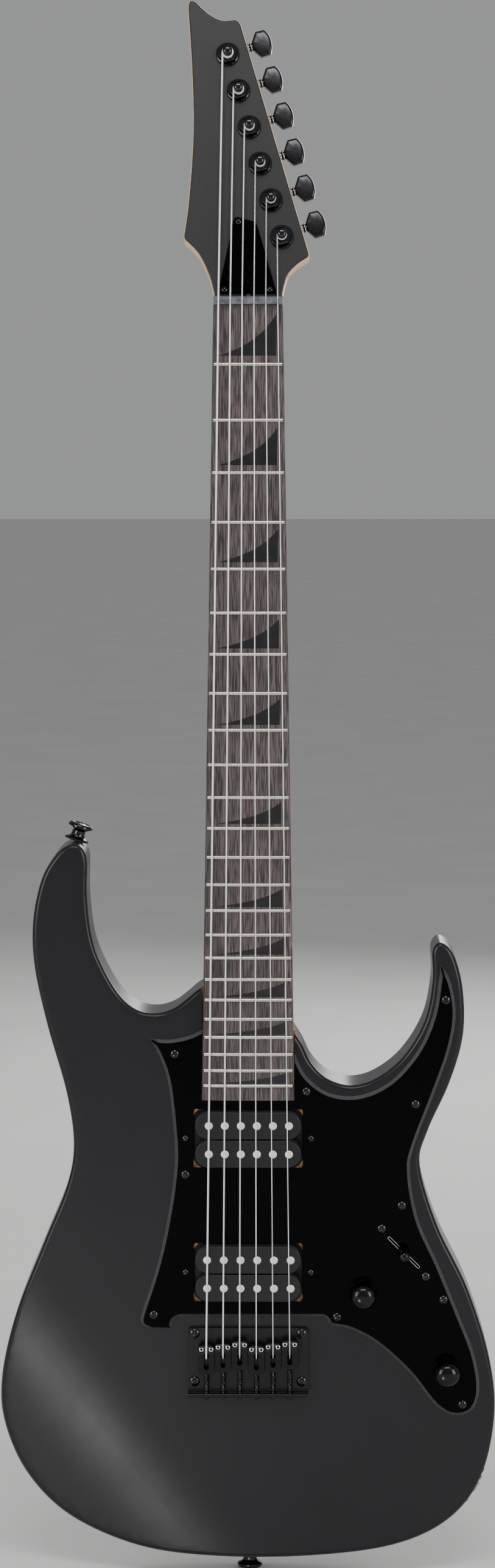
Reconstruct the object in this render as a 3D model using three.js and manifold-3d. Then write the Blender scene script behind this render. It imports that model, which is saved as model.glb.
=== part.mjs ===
// Solid-body electric guitar: 24-fret bolt-on neck, two humbuckers on a pickguard, fixed bridge.
// Millimetres. The guitar stands upright with its headstock up (+Z) and its front facing -Y.
// x = 0 is the centre line with the bass side at -X, y = 0 is the body's front face,
// and z = 0 is the playing edge of the nut.
import * as THREE from 'three';
import { mergeVertices } from 'three/addons/utils/BufferGeometryUtils.js';
import Module from 'manifold-3d';

const wasm = await Module();
wasm.setup();

// ---- driving dimensions -------------------------------------------------------------------
const GAP = 0.3;                    // clearance between touching pieces

const SCALE = 648;                  // nut to octave-true bridge point
const FRETS = 24;
const NUT_WIDTH = 43;
const FRETBOARD_END = -495.3;
const FRETBOARD_END_WIDTH = 58.2;
const FRETBOARD_THICK = 6.2;
const FRETBOARD_TOP = -8.5;         // y of the playing surface on the centre line
const FRETBOARD_RADIUS = 400;
const FRET_HEIGHT = 1.2;
const FRET_WIDTH = 2.4;

const BODY_THICK = 45;
const BODY_EDGE = 3;                // rounding of the body's edges
const FOREARM_CREASE = [-88, -714];
const FOREARM_HEADING = Math.atan2(-0.79, -0.613);  // from the crease out to the rim
const FOREARM_SLOPE = THREE.MathUtils.degToRad(11);
const BELLY_CENTRE = [-165, -515];
const BELLY_RADIUS = 300;
const BELLY_DEPTH = 17;
const POCKET_DEPTH = 16.5;
const POCKET_TOP = -400;
const HEEL_END = -491.5;
const HEEL_TOP = -428;
const PICKUP_CAVITY = [90, 40, 24]; // along X, along Z, deep
const CONTROL_DEPTH = 38;
const WIRE_WAY_HALF = 12;
const WIRE_WAY_DEPTH = 18;
const JACK_CAVITY_RADIUS = 9.4;
const STRING_BORE = 2.2;

const NUT_LENGTH = 5.4;
const TRUSS_RADIUS = 2.6;
const TRUSS_Y = 5.5;
const HEAD_TILT = THREE.MathUtils.degToRad(12);
const HEAD_THICK = 14.5;
const HEAD_START_Y = -2.5;          // y of the headstock face where it leaves the nut
const HEAD_START_Z = 6;
const COVER_THICK = 1.8;            // truss rod cover
const NECK_PLATE_THICK = 1.8;

const STRINGS = 6;
const STRING_PITCH_NUT = 7.3;
const STRING_PITCH_BRIDGE = 10.5;
const STRING_RADII = [0.6, 0.5, 0.42, 0.36, 0.3, 0.3];
const STRING_Y_NUT = -10.9;
const STRING_Y_SADDLE = -14;

const GUARD_THICK = 2.2;
const GUARD_FRONT = -(GAP + GUARD_THICK);

const PICKUP_Z = [-520.3, -605.6];
const PICKUP_OPENING = [68.6, 37.4];
const BOBBIN_LENGTH = 66.2;
const BOBBIN_WIDTH = 17.2;
const BOBBIN_PITCH = 18;
const BOBBIN_TOP = -8.8;
const BOBBIN_DEPTH = 11;
const PICKUP_EAR_SPAN = 78.8;       // between the two height screws

const BRIDGE_WIDTH = 76;
const BRIDGE_TOP_Z = -641;
const BRIDGE_FLANGE_Z = -681.5;
const BRIDGE_THICK = 3;
const BRIDGE_FLANGE_HEIGHT = 11;
const BRIDGE_FLANGE_THICK = 2.4;
const SADDLE_WIDTH = 10;
const SADDLE_LENGTH = 18.8;
const SADDLE_FRONT_Z = [-650.6, -649.2, -647.6, -650.6, -648.9, -647.3];
const SADDLE_SLOT_WIDTH = 3.2;
const SADDLE_SLOT_LENGTH = 12;
const SADDLE_SLOT_START = 3.8;      // behind the saddle's front
const SADDLE_TRAVEL = 2.5;
const STRING_HOLE_Z = -659.3;       // where the strings pass through the body

const KNOB_PLACES = { volume: [72.3, -618.4], tone: [125.2, -667.9] };
const KNOB_RADIUS = 8.9;
const KNOB_HEIGHT = 18;
const POT_RADIUS = 12;
const POT_DEPTH = 11;
const POT_BUSHING = 4.7;

const SWITCH_PLACE = [97.9, -592.6];
const SWITCH_TURN = Math.PI / 4;    // the slot's slope below +X
const SWITCH_SLOT = 28;
const SWITCH_PIVOT_Y = 20;
const LEVER_TIP_Y = -12;

const TUNER_FIRST = [-13.1, 153.2]; // x and distance up the headstock of the farthest post
const TUNER_PITCH = 24.2;
const TUNER_LINE = Math.atan2(0.2796, 0.9602);  // lean of the row of posts
const WORM_OFFSET = 6.7;
const WORM_DEPTH = 7;               // below the headstock's back face
const POST_RADIUS = 3;
const POST_HEIGHT = 11.5;
const BUSHING_RADIUS = 4.8;
const WINDING_HEIGHT = 5.2;         // of the string above the headstock face at its post
const WASHER_RADIUS = 7.3;
const GEARBOX_SIZE = [19, 19.5, 12.4]; // across, along the row, deep
const GEARBOX_CENTRE = 2.4;         // along the row from the post

const JACK_CENTRE = [142.1, 22, -744.2];
const JACK_NORMAL = new THREE.Vector3(0.884, 0, -0.467).normalize();
const JACK_PLATE = [28, 24, 2];     // along the body's edge, across it, thick
const JACK_BORE = 3.3;
const JACK_NECK = 5.7;

const STRAP_UPPER = { at: [-108.6, 22, -334.4], axis: new THREE.Vector3(0.31, 0, 0.95) };
const STRAP_LOWER = { at: [0.9, 22, -789.9], axis: new THREE.Vector3(0, 0, -1) };

// ---- materials ----------------------------------------------------------------------------
function finish(color, roughness, metalness) {
  return new THREE.MeshStandardMaterial({ color, roughness, metalness });
}

const BODY_PAINT = finish(0x2d2e30, 0.35, 0);
const MAPLE = finish(0xe0b98a, 0.45, 0);
const ROSEWOOD = finish(0x4a3a38, 0.55, 0);
const NUT_BONE = finish(0x6f7275, 0.5, 0);
const GLOSS_BLACK = finish(0x0b0b0c, 0.12, 0);
const MATTE_BLACK = finish(0x222224, 0.6, 0);
const BLACK_METAL = finish(0x1c1c1e, 0.3, 0.8);
const STEEL = finish(0xb9bcc0, 0.3, 1);

// ---- solids -------------------------------------------------------------------------------
function solid(geometry) {
  const bare = geometry.clone();
  bare.deleteAttribute('normal');
  bare.deleteAttribute('uv');
  const merged = mergeVertices(bare, 1e-3);
  const index = merged.index.array;
  const corners = [];
  for (let t = 0; t < index.length; t += 3) {
    const [a, b, c] = index.slice(t, t + 3);
    if (a !== b && b !== c && c !== a) {
      corners.push(a, b, c);
    }
  }
  return new wasm.Manifold(new wasm.Mesh({
    numProp: 3,
    vertProperties: new Float32Array(merged.attributes.position.array),
    triVerts: new Uint32Array(corners),
  }));
}

function geometryOf(manifold) {
  const mesh = manifold.getMesh();
  const geometry = new THREE.BufferGeometry();
  geometry.setAttribute('position', new THREE.BufferAttribute(new Float32Array(mesh.vertProperties), 3));
  geometry.setIndex(new THREE.BufferAttribute(new Uint32Array(mesh.triVerts), 1));
  geometry.computeVertexNormals();
  return geometry;
}

function box(x0, y0, z0, x1, y1, z1) {
  const shape = new THREE.BoxGeometry(Math.abs(x1 - x0), y1 - y0, z1 - z0);
  return solid(shape.translate((x0 + x1) / 2, (y0 + y1) / 2, (z0 + z1) / 2));
}

// An outline in the X-Z plane, pushed through the body from y0 (front) to y1 (back).
function slab(shape, y0, y1, curveSegments = 8, edge = 0) {
  const geometry = new THREE.ExtrudeGeometry(shape, {
    depth: y1 - y0 - 2 * edge,
    curveSegments,
    bevelEnabled: edge > 0,
    bevelThickness: edge,
    bevelSize: edge,
    bevelOffset: -edge,
    bevelSegments: 1,
  });
  return solid(geometry.rotateX(Math.PI / 2).translate(0, y1 - edge, 0));
}

function polygon(points) {
  return new THREE.Shape(points.map(([x, z]) => new THREE.Vector2(x, z)));
}

function rounded(width, height, radius, cx = 0, cz = 0) {
  const shape = new THREE.Shape();
  const w = width / 2;
  const h = height / 2;
  shape.moveTo(cx + w, cz - h + radius);
  shape.absarc(cx + w - radius, cz + h - radius, radius, 0, Math.PI / 2);
  shape.absarc(cx - w + radius, cz + h - radius, radius, Math.PI / 2, Math.PI);
  shape.absarc(cx - w + radius, cz - h + radius, radius, Math.PI, Math.PI * 1.5);
  shape.absarc(cx + w - radius, cz - h + radius, radius, Math.PI * 1.5, Math.PI * 2);
  return shape;
}

function circle(radius, cx = 0, cz = 0) {
  const shape = new THREE.Shape();
  shape.absarc(cx, cz, radius, 0, Math.PI * 2);
  return shape;
}

const spline = (shape, points) => shape.splineThru(points.map(([x, z]) => new THREE.Vector2(x, z)));
const cut = (block, ...tools) => tools.reduce((rest, tool) => rest.subtract(tool), block);
const join = (block, ...others) => others.reduce((whole, other) => whole.add(other), block);

// A turned piece: [radius, height] pairs from the axis back to the axis, standing along +Z.
function turned(profile, sides = 20) {
  const points = profile.map(([r, h]) => new THREE.Vector2(r, h));
  return new THREE.LatheGeometry(points, sides).rotateX(Math.PI / 2);
}

const rod = (radius, z0, z1, sides = 20) => turned([[0, z0], [radius, z0], [radius, z1], [0, z1]], sides);

// Turns a piece built along +Z to stand along a direction from a point.
function along(geometry, origin, direction) {
  const up = new THREE.Vector3(0, 0, 1);
  const turn = new THREE.Quaternion().setFromUnitVectors(up, direction.clone().normalize());
  return geometry.applyQuaternion(turn).translate(...origin);
}

const FRONT = new THREE.Vector3(0, -1, 0);
const BACK = new THREE.Vector3(0, 1, 0);

const guitar = new THREE.Group();
guitar.name = 'electric_guitar';

function add(name, shape, material, parent = guitar) {
  const geometry = shape.getMesh ? geometryOf(shape) : shape;
  const mesh = new THREE.Mesh(geometry, material);
  mesh.name = name;
  parent.add(mesh);
  return mesh;
}

// ---- shared measures ----------------------------------------------------------------------
const fretZ = (n) => -SCALE * (1 - 2 ** (-n / 12));
const neckHalf = (z) => (NUT_WIDTH + (FRETBOARD_END_WIDTH - NUT_WIDTH) * (z / FRETBOARD_END)) / 2;
const stringX = (i, pitch) => (i - (STRINGS - 1) / 2) * pitch;
const lean = (u, v) => [u * Math.cos(TUNER_LINE) - v * Math.sin(TUNER_LINE),
  u * Math.sin(TUNER_LINE) + v * Math.cos(TUNER_LINE)];

// ---- body ---------------------------------------------------------------------------------
const BODY_OUTLINE = [
  [-22, -423.5], [-30.5, -426], [-38.5, -432.5], [-47, -438.6], [-58, -441.6], [-70, -439.2],
  [-81, -429.8], [-91, -413],
  [-98, -394], [-101, -368], [-101, -345], [-105, -336.2], [-112.5, -335.6], [-120.5, -342],
  [-129.5, -357.5], [-134.9, -384], [-134, -413], [-126, -450], [-114.3, -492], [-109.9, -525],
  [-114.5, -552], [-129, -588], [-147, -634], [-156.4, -676], [-154.4, -707], [-140, -739.5],
  [-113, -766], [-70, -783.8], [-20, -789.3], [40, -788.6], [92, -781.4], [126.5, -765],
  [147, -738], [155.6, -699], [152.5, -662], [138.5, -617], [119, -576], [108, -538],
  [112.8, -516], [126.5, -485], [134.8, -455], [134.3, -425], [128.3, -403.5], [120.5, -396.6],
  [115.3, -402.5], [115.4, -422], [110.5, -446.5], [97.5, -468.5], [81, -482.2], [65, -487],
  [50, -482.8], [39.5, -472.8],
  [32.5, -459], [22, -446],
];

// The outline crosses the neck pocket out of sight, between the two cutaways.
function bodyOutline() {
  const curve = BODY_OUTLINE.map(([x, z]) => new THREE.Vector2(x, z));
  const shape = new THREE.Shape();
  shape.moveTo(0, -432);
  shape.splineThru(curve);
  return shape;
}

const CONTROL_CAVITY = [
  [58, -600], [72, -574], [92, -563], [104, -574], [120, -604.5], [128, -632], [138, -654],
  [138.8, -677], [128, -685], [112, -681], [98, -660], [84, -637], [58, -636],
];

function makeBody() {
  let body = slab(bodyOutline(), 0, BODY_THICK, 3, BODY_EDGE);
  const half = neckHalf(HEEL_END) + GAP;
  const pocket = box(-half, -1, HEEL_END - GAP, half, POCKET_DEPTH, POCKET_TOP);
  const controls = slab(polygon(CONTROL_CAVITY), -1, CONTROL_DEPTH);
  const [cavityWidth, cavityLength, cavityDepth] = PICKUP_CAVITY;
  const wireTop = PICKUP_Z[0] - cavityLength / 2 + 1;
  const wireBottom = PICKUP_Z[1] + cavityLength / 2 - 1;
  const wireWay = box(-WIRE_WAY_HALF, -1, wireBottom, WIRE_WAY_HALF, WIRE_WAY_DEPTH, wireTop);
  const sideWay = box(40, 6, -612, 62, 20, -602);
  const jackWay = solid(along(rod(JACK_CAVITY_RADIUS, -62, 12), JACK_CENTRE, JACK_NORMAL));
  body = cut(body, pocket, controls, wireWay, sideWay, jackWay, jackSeat(), forearmCut(), bellyCut());
  for (const z of PICKUP_Z) {
    body = cut(body, slab(rounded(cavityWidth, cavityLength, 5, 0, z), -1, cavityDepth, 3));
  }
  for (let i = 0; i < STRINGS; i += 1) {
    const hole = rod(STRING_BORE, -1, BODY_THICK + 1, 10);
    body = cut(body, solid(along(hole, [stringX(i, STRING_PITCH_BRIDGE), 0, STRING_HOLE_Z], BACK)));
  }
  return body;
}

function jackSeat() {
  const seat = new THREE.BoxGeometry(JACK_PLATE[1] + 1, JACK_PLATE[0] + 1, 20).translate(0, 0, 10 - GAP);
  return solid(turnToJack(seat));
}

// The forearm slope falls away from a crease that runs across the bass lower bout.
function forearmCut() {
  const wedge = new THREE.BoxGeometry(400, 60, 200).translate(0, -30, 100);
  wedge.rotateX(-FOREARM_SLOPE).rotateY(FOREARM_HEADING);
  return solid(wedge.translate(FOREARM_CREASE[0], 0, FOREARM_CREASE[1]));
}

// The back is hollowed at the waist on the bass side.
function bellyCut() {
  const ball = new THREE.SphereGeometry(BELLY_RADIUS, 60, 44);
  return solid(ball.translate(BELLY_CENTRE[0], BODY_THICK + BELLY_RADIUS - BELLY_DEPTH, BELLY_CENTRE[1]));
}

// Carries a piece from the jack plate's frame (across, along the edge, out of the body).
function turnToJack(geometry) {
  const across = new THREE.Vector3(0, 1, 0);
  const edgeway = new THREE.Vector3().crossVectors(JACK_NORMAL, across);
  const basis = new THREE.Matrix4().makeBasis(across, edgeway, JACK_NORMAL);
  return geometry.applyMatrix4(basis).translate(...JACK_CENTRE);
}

add('body', makeBody(), BODY_PAINT);

// ---- neck ---------------------------------------------------------------------------------
const NECK_TOP = FRETBOARD_TOP + FRETBOARD_THICK + GAP;   // the glue face under the fretboard
const neckDepth = (z) => 13.8 - 0.0052 * z;

// A D-shaped section pushed along the neck, then given its width and depth at each height.
function neckShaft() {
  const section = new THREE.Shape();
  section.moveTo(1, 0);
  section.bezierCurveTo(1, 0.62, 0.62, 1, 0, 1);
  section.bezierCurveTo(-0.62, 1, -1, 0.62, -1, 0);
  const bottom = HEEL_TOP - 6;
  const geometry = new THREE.ExtrudeGeometry(section, {
    depth: HEAD_START_Z - bottom, steps: 6, bevelEnabled: false, curveSegments: 5,
  });
  geometry.translate(0, 0, bottom);
  const position = geometry.attributes.position;
  for (let i = 0; i < position.count; i += 1) {
    const z = position.getZ(i);
    position.setX(i, position.getX(i) * neckHalf(z));
    position.setY(i, NECK_TOP + position.getY(i) * neckDepth(z));
  }
  return solid(geometry);
}

function headOutline() {
  const shape = new THREE.Shape();
  shape.moveTo(21.3, -8);
  shape.lineTo(21.3, 1);
  spline(shape, [[24.4, 12.4], [30.5, 19.4], [36.4, 23.4]]);
  shape.quadraticCurveTo(38.2, 24.6, 37.4, 27.4);
  shape.lineTo(-4.6, 171.4);
  shape.quadraticCurveTo(-6.2, 176.4, -10, 175.7);
  spline(shape, [[-17, 175.4], [-25, 179.6], [-32.6, 186.8]]);
  shape.quadraticCurveTo(-38.2, 191, -38, 182);
  spline(shape, [[-35.6, 145], [-34.5, 105], [-37, 62], [-40, 38]]);
  shape.quadraticCurveTo(-40.4, 35.4, -38, 33.8);
  spline(shape, [[-30.6, 25.6], [-24.4, 12.4], [-21.3, 1]]);
  shape.lineTo(-21.3, -8);
  return shape;
}

// Carries a piece from the headstock's frame (x, depth behind its face, distance up it).
const toHead = new THREE.Matrix4().makeRotationX(-HEAD_TILT)
  .premultiply(new THREE.Matrix4().makeTranslation(0, HEAD_START_Y, HEAD_START_Z));
const onHead = (piece) => solid(geometryOf(piece).applyMatrix4(toHead));

function postPlace(i) {
  const [dx, ds] = lean(0, -i * TUNER_PITCH);
  return [TUNER_FIRST[0] + dx, TUNER_FIRST[1] + ds];
}

function makeNeck() {
  const head = onHead(slab(headOutline(), 0, HEAD_THICK, 4));
  const below = box(-60, -40, -40, 60, 60, HEAD_START_Z - 0.5);
  const half = neckHalf(HEEL_END) - 0.6;
  const heel = box(-half, NECK_TOP, HEEL_END, half, POCKET_DEPTH - GAP, HEEL_TOP);
  const groove = TRUSS_RADIUS + GAP;
  const channel = box(-groove, NECK_TOP - 1, -470, groove, TRUSS_Y + groove, 44);
  let neck = cut(join(cut(head, below), neckShaft(), heel), channel);
  for (let i = 0; i < STRINGS; i += 1) {
    neck = cut(neck, onHead(slab(circle(BUSHING_RADIUS + GAP, ...postPlace(i)), -1, HEAD_THICK + 1, 5)));
  }
  return neck;
}

// The playing surface is an arc across the board; the frets stand on it as low ridges.
function makeFretboard() {
  const section = new THREE.Shape();
  const bottom = NECK_TOP - GAP;
  const arc = (half, lift) => FRETBOARD_TOP - lift + half ** 2 / (2 * FRETBOARD_RADIUS);
  section.moveTo(1, bottom);
  section.lineTo(-1, bottom);
  for (let i = -3; i <= 3; i += 1) {
    section.lineTo(i / 3, FRETBOARD_TOP + (i / 3) ** 2);
  }
  const length = -FRETBOARD_END;
  const geometry = new THREE.ExtrudeGeometry(section, { depth: length, bevelEnabled: false });
  geometry.translate(0, 0, FRETBOARD_END);
  const position = geometry.attributes.position;
  for (let i = 0; i < position.count; i += 1) {
    const half = neckHalf(position.getZ(i));
    const x = position.getX(i) * half;
    position.setX(i, x);
    if (position.getY(i) < bottom - 0.1) {
      position.setY(i, arc(x, 0));
    }
  }
  let board = solid(geometry);
  for (let n = 1; n <= FRETS; n += 1) {
    board = board.add(makeFret(fretZ(n), arc));
  }
  return board;
}

function makeFret(z, arc) {
  const half = neckHalf(z) - 0.4;
  const ridge = new THREE.Shape();
  ridge.moveTo(-half, arc(half, -0.8));
  for (let i = -1; i <= 1; i += 1) {
    ridge.lineTo(i * (half - 0.6), arc(i * half, FRET_HEIGHT));
  }
  ridge.lineTo(half, arc(half, -0.8));
  const geometry = new THREE.ExtrudeGeometry(ridge, { depth: FRET_WIDTH, bevelEnabled: false });
  return solid(geometry.translate(0, 0, z - FRET_WIDTH / 2));
}

function makeNut() {
  const half = NUT_WIDTH / 2 - 0.2;
  let nut = box(-half, STRING_Y_NUT - 0.7, GAP, half, NECK_TOP - GAP, NUT_LENGTH);
  STRING_RADII.forEach((radius, i) => {
    const x = stringX(i, STRING_PITCH_NUT);
    nut = cut(nut, box(x - radius - GAP, -20, -1, x + radius + GAP, STRING_Y_NUT + radius + GAP, 10));
  });
  return nut;
}

function makeTrussCover() {
  const shape = new THREE.Shape();
  shape.moveTo(-17.4, 1);
  shape.lineTo(17.4, 1);
  shape.lineTo(17.2, 3);
  shape.lineTo(5.6, 43.6);
  shape.quadraticCurveTo(4.6, 46.4, 1.8, 47);
  shape.lineTo(-6.6, 49.4);
  shape.quadraticCurveTo(-8.6, 49.6, -9.2, 47);
  shape.lineTo(-17.4, 7);
  return onHead(slab(shape, -GAP - COVER_THICK, -GAP, 4));
}

function makeNeckPlate() {
  const shape = new THREE.Shape();
  shape.moveTo(-23, -437);
  shape.lineTo(1, -441);
  shape.lineTo(25, -458);
  shape.lineTo(25, -489);
  shape.lineTo(22, -492);
  shape.lineTo(-22, -492);
  shape.lineTo(-25, -489);
  shape.lineTo(-25, -439);
  return slab(shape, BODY_THICK + GAP, BODY_THICK + GAP + NECK_PLATE_THICK);
}

add('neck', makeNeck(), MAPLE);
add('fretboard', makeFretboard(), ROSEWOOD);
add('nut', makeNut(), NUT_BONE);
const trussRod = rod(TRUSS_RADIUS, -465, 27, 12).translate(0, TRUSS_Y, 0);
add('truss_rod', trussRod, STEEL);
add('truss_rod_cover', makeTrussCover(), GLOSS_BLACK);
add('neck_plate', makeNeckPlate(), BLACK_METAL);

// ---- pickguard ----------------------------------------------------------------------------
function guardOutline() {
  const shape = new THREE.Shape();
  shape.moveTo(-24, -449);
  spline(shape, [[-36.5, -455.2], [-49.5, -457.9], [-62, -457.1]]);
  spline(shape, [[-55.2, -469.8], [-50.2, -486], [-46.9, -515], [-46.2, -537], [-50, -567],
    [-57, -600], [-67.4, -632.6]]);
  shape.quadraticCurveTo(-70, -641.4, -61, -641.6);
  shape.lineTo(-50.6, -641.7);
  shape.quadraticCurveTo(-48.4, -641.8, -48.1, -638.6);
  shape.quadraticCurveTo(-47.4, -632, -40.8, -632);
  shape.lineTo(45, -631.8);
  shape.quadraticCurveTo(49.6, -631.8, 50.8, -637);
  shape.quadraticCurveTo(51.4, -639.6, 54.6, -639.8);
  spline(shape, [[66, -642.6], [82.6, -652.2], [101.8, -670], [118, -690.4], [130, -697],
    [141.4, -693.6], [146, -680], [142.6, -658], [132.9, -632.6], [120.2, -601.5], [107, -571.5],
    [101.7, -541], [104.8, -523.6], [116.3, -493.1], [126.4, -464], [130, -441], [126.6, -420.6],
    [120.4, -409.6]]);
  spline(shape, [[119.3, -421], [115.6, -443], [106, -465], [89.3, -484], [70, -493], [51, -491.6],
    [36.6, -481], [29.4, -467]]);
  shape.lineTo(22, -455);
  return shape;
}

function makePickguard() {
  let guard = slab(guardOutline(), GUARD_FRONT, -GAP, 3);
  const half = neckHalf(FRETBOARD_END) + 0.4;
  const taper = half - neckHalf(POCKET_TOP) - 0.4;
  const notch = polygon([[-half, FRETBOARD_END - 0.4], [half, FRETBOARD_END - 0.4],
    [half - taper, POCKET_TOP], [taper - half, POCKET_TOP]]);
  guard = cut(guard, slab(notch, -5, 5));
  for (const z of PICKUP_Z) {
    guard = cut(guard, slab(rounded(...PICKUP_OPENING, 1.5, 0, z), -5, 5, 3));
  }
  for (const [x, z] of Object.values(KNOB_PLACES)) {
    guard = cut(guard, slab(circle(POT_BUSHING + GAP, x, z), -5, 5, 5));
  }
  return cut(guard, onSwitch(box(-SWITCH_SLOT / 2, -5, -1, SWITCH_SLOT / 2, 5, 1)));
}

add('pickguard', makePickguard(), GLOSS_BLACK);

// ---- pickups ------------------------------------------------------------------------------
const BOBBIN_BACK = BOBBIN_TOP + BOBBIN_DEPTH;

function makePickupBase(z) {
  const top = BOBBIN_BACK + GAP;
  const half = BOBBIN_LENGTH / 2;
  const plate = box(-half - 0.8, top, z - 18.2, half + 0.8, top + 1.2, z + 18.2);
  const legs = [-1, 1].flatMap((side) => [
    box(side * (half - 0.4), top + 0.6, z - 5.5, side * (half + 0.8), top + 7.2, z + 5.5),
    box(side * (half - 0.4), top + 6, z - 5.5, side * (PICKUP_EAR_SPAN / 2 + 4), top + 7.2, z + 5.5),
  ]);
  return join(plate, ...legs);
}

function makeBobbin(z) {
  return slab(rounded(BOBBIN_LENGTH, BOBBIN_WIDTH, BOBBIN_WIDTH / 2 - 0.3, 0, z), BOBBIN_TOP, BOBBIN_BACK, 5);
}

['neck', 'bridge'].forEach((name, i) => {
  const z = PICKUP_Z[i];
  add(`${name}_pickup_base`, makePickupBase(z), BLACK_METAL);
  add(`${name}_pickup_bobbin_1`, makeBobbin(z + BOBBIN_PITCH / 2), MATTE_BLACK);
  add(`${name}_pickup_bobbin_2`, makeBobbin(z - BOBBIN_PITCH / 2), MATTE_BLACK);
});

// ---- controls -----------------------------------------------------------------------------
const SHAFT_RADIUS = 3;
const SHAFT_TIP = 16;               // how far the shafts and bushings stand out of the body
const BUSHING_TIP = 6.6;

// Heights in these profiles count outwards from the body's front face.
const POT_PROFILE = [
  [0, -POT_DEPTH], [POT_RADIUS, -POT_DEPTH], [POT_RADIUS, 0], [POT_BUSHING, 0],
  [POT_BUSHING, BUSHING_TIP], [SHAFT_RADIUS + GAP, BUSHING_TIP], [SHAFT_RADIUS + GAP, -6.4], [0, -6.4],
];
const KNOB_FOOT = GAP - GUARD_FRONT;
const KNOB_PROFILE = [
  [KNOB_RADIUS, KNOB_FOOT], [KNOB_RADIUS, KNOB_FOOT + 1.6], [8.1, KNOB_FOOT + 3],
  [7.7, KNOB_FOOT + KNOB_HEIGHT - 2.6], [6.4, KNOB_FOOT + KNOB_HEIGHT - 0.8], [3.4, KNOB_FOOT + KNOB_HEIGHT],
  [0, KNOB_FOOT + KNOB_HEIGHT + 0.3], [0, SHAFT_TIP + GAP], [SHAFT_RADIUS + GAP, SHAFT_TIP + GAP],
  [SHAFT_RADIUS + GAP, 8], [6, 7.4], [6, KNOB_FOOT], [KNOB_RADIUS, KNOB_FOOT],
];

for (const [name, [x, z]] of Object.entries(KNOB_PLACES)) {
  add(`${name}_pot`, along(turned(POT_PROFILE, 16), [x, 0, z], FRONT), STEEL);
  add(`${name}_shaft`, along(rod(SHAFT_RADIUS, -6, SHAFT_TIP, 12), [x, 0, z], FRONT), STEEL);
  add(`${name}_knob`, along(turned(KNOB_PROFILE, 20), [x, 0, z], FRONT), BLACK_METAL);
}

// The switch is built along X at the origin, then turned to its slot.
function onSwitch(piece) {
  const geometry = geometryOf(piece).rotateY(SWITCH_TURN);
  return solid(geometry.translate(SWITCH_PLACE[0], 0, SWITCH_PLACE[1]));
}

function makeSwitchBody() {
  const tabs = box(-23.5, 0, -5, 23.5, 1.4, 5);
  const frame = box(-18, 1, -6, 18, 30, 6);
  return onSwitch(cut(join(tabs, frame), box(-16, -1, -1.2, 16, 27, 1.2)));
}

function makeSwitchLever() {
  const hub = solid(along(rod(4, -0.7, 0.7, 16), [0, SWITCH_PIVOT_Y, 0], new THREE.Vector3(0, 0, 1)));
  return onSwitch(join(box(-2.4, LEVER_TIP_Y, -0.6, 2.4, SWITCH_PIVOT_Y, 0.6), hub));
}

function makeSwitchTip() {
  const cap = [[0, 7.2], [3.9, 7.2], [4.1, 8.4], [3.1, 13.5], [3.5, 18.2], [2.4, 19.4], [0, 19.6]];
  const socket = box(-2.4 - GAP, LEVER_TIP_Y - GAP, -0.6 - GAP, 2.4 + GAP, 0, 0.6 + GAP);
  return onSwitch(cut(solid(along(turned(cap, 14), [0, 0, 0], FRONT)), socket));
}

add('switch_body', makeSwitchBody(), STEEL);
add('switch_lever', makeSwitchLever(), STEEL);
add('switch_tip', makeSwitchTip(), GLOSS_BLACK);

// ---- output jack --------------------------------------------------------------------------
// Heights count outwards from the underside of the jack plate.
const JACK_PROFILE = [
  [0, -26], [8.6, -26], [8.6, -GAP], [JACK_NECK, -GAP], [JACK_NECK, 2.3], [7.8, 2.3], [7.8, 4.6],
  [5, 4.6], [4.6, -3], [JACK_BORE, -4.2], [JACK_BORE, -24], [0, -24],
];

function makeJackPlate() {
  const [length, width, thick] = JACK_PLATE;
  const outline = rounded(width, length, 4);
  outline.holes.push(circle(JACK_NECK + GAP));
  const push = { depth: thick, bevelEnabled: false, curveSegments: 5 };
  const geometry = new THREE.ExtrudeGeometry(outline, push);
  return turnToJack(geometry);
}

add('jack_plate', makeJackPlate(), BLACK_METAL);
add('output_jack', along(turned(JACK_PROFILE, 14), JACK_CENTRE, JACK_NORMAL), STEEL);

// ---- bridge -------------------------------------------------------------------------------
function makeBridgePlate() {
  const front = -GAP - BRIDGE_THICK;
  const half = BRIDGE_WIDTH / 2;
  const rear = BRIDGE_FLANGE_Z - BRIDGE_FLANGE_THICK;
  const middle = (BRIDGE_TOP_Z + rear) / 2;
  const plate = slab(rounded(BRIDGE_WIDTH, BRIDGE_TOP_Z - rear, 3, 0, middle), front, -GAP, 3);
  const flange = box(-half + 0.4, -GAP - BRIDGE_FLANGE_HEIGHT, rear, half - 0.4, front + 1, BRIDGE_FLANGE_Z);
  let bridge = plate.add(flange);
  for (let i = 0; i < STRINGS; i += 1) {
    bridge = cut(bridge, slab(circle(1.6, stringX(i, STRING_PITCH_BRIDGE), STRING_HOLE_Z), -9, 2, 4));
  }
  return bridge;
}

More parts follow.
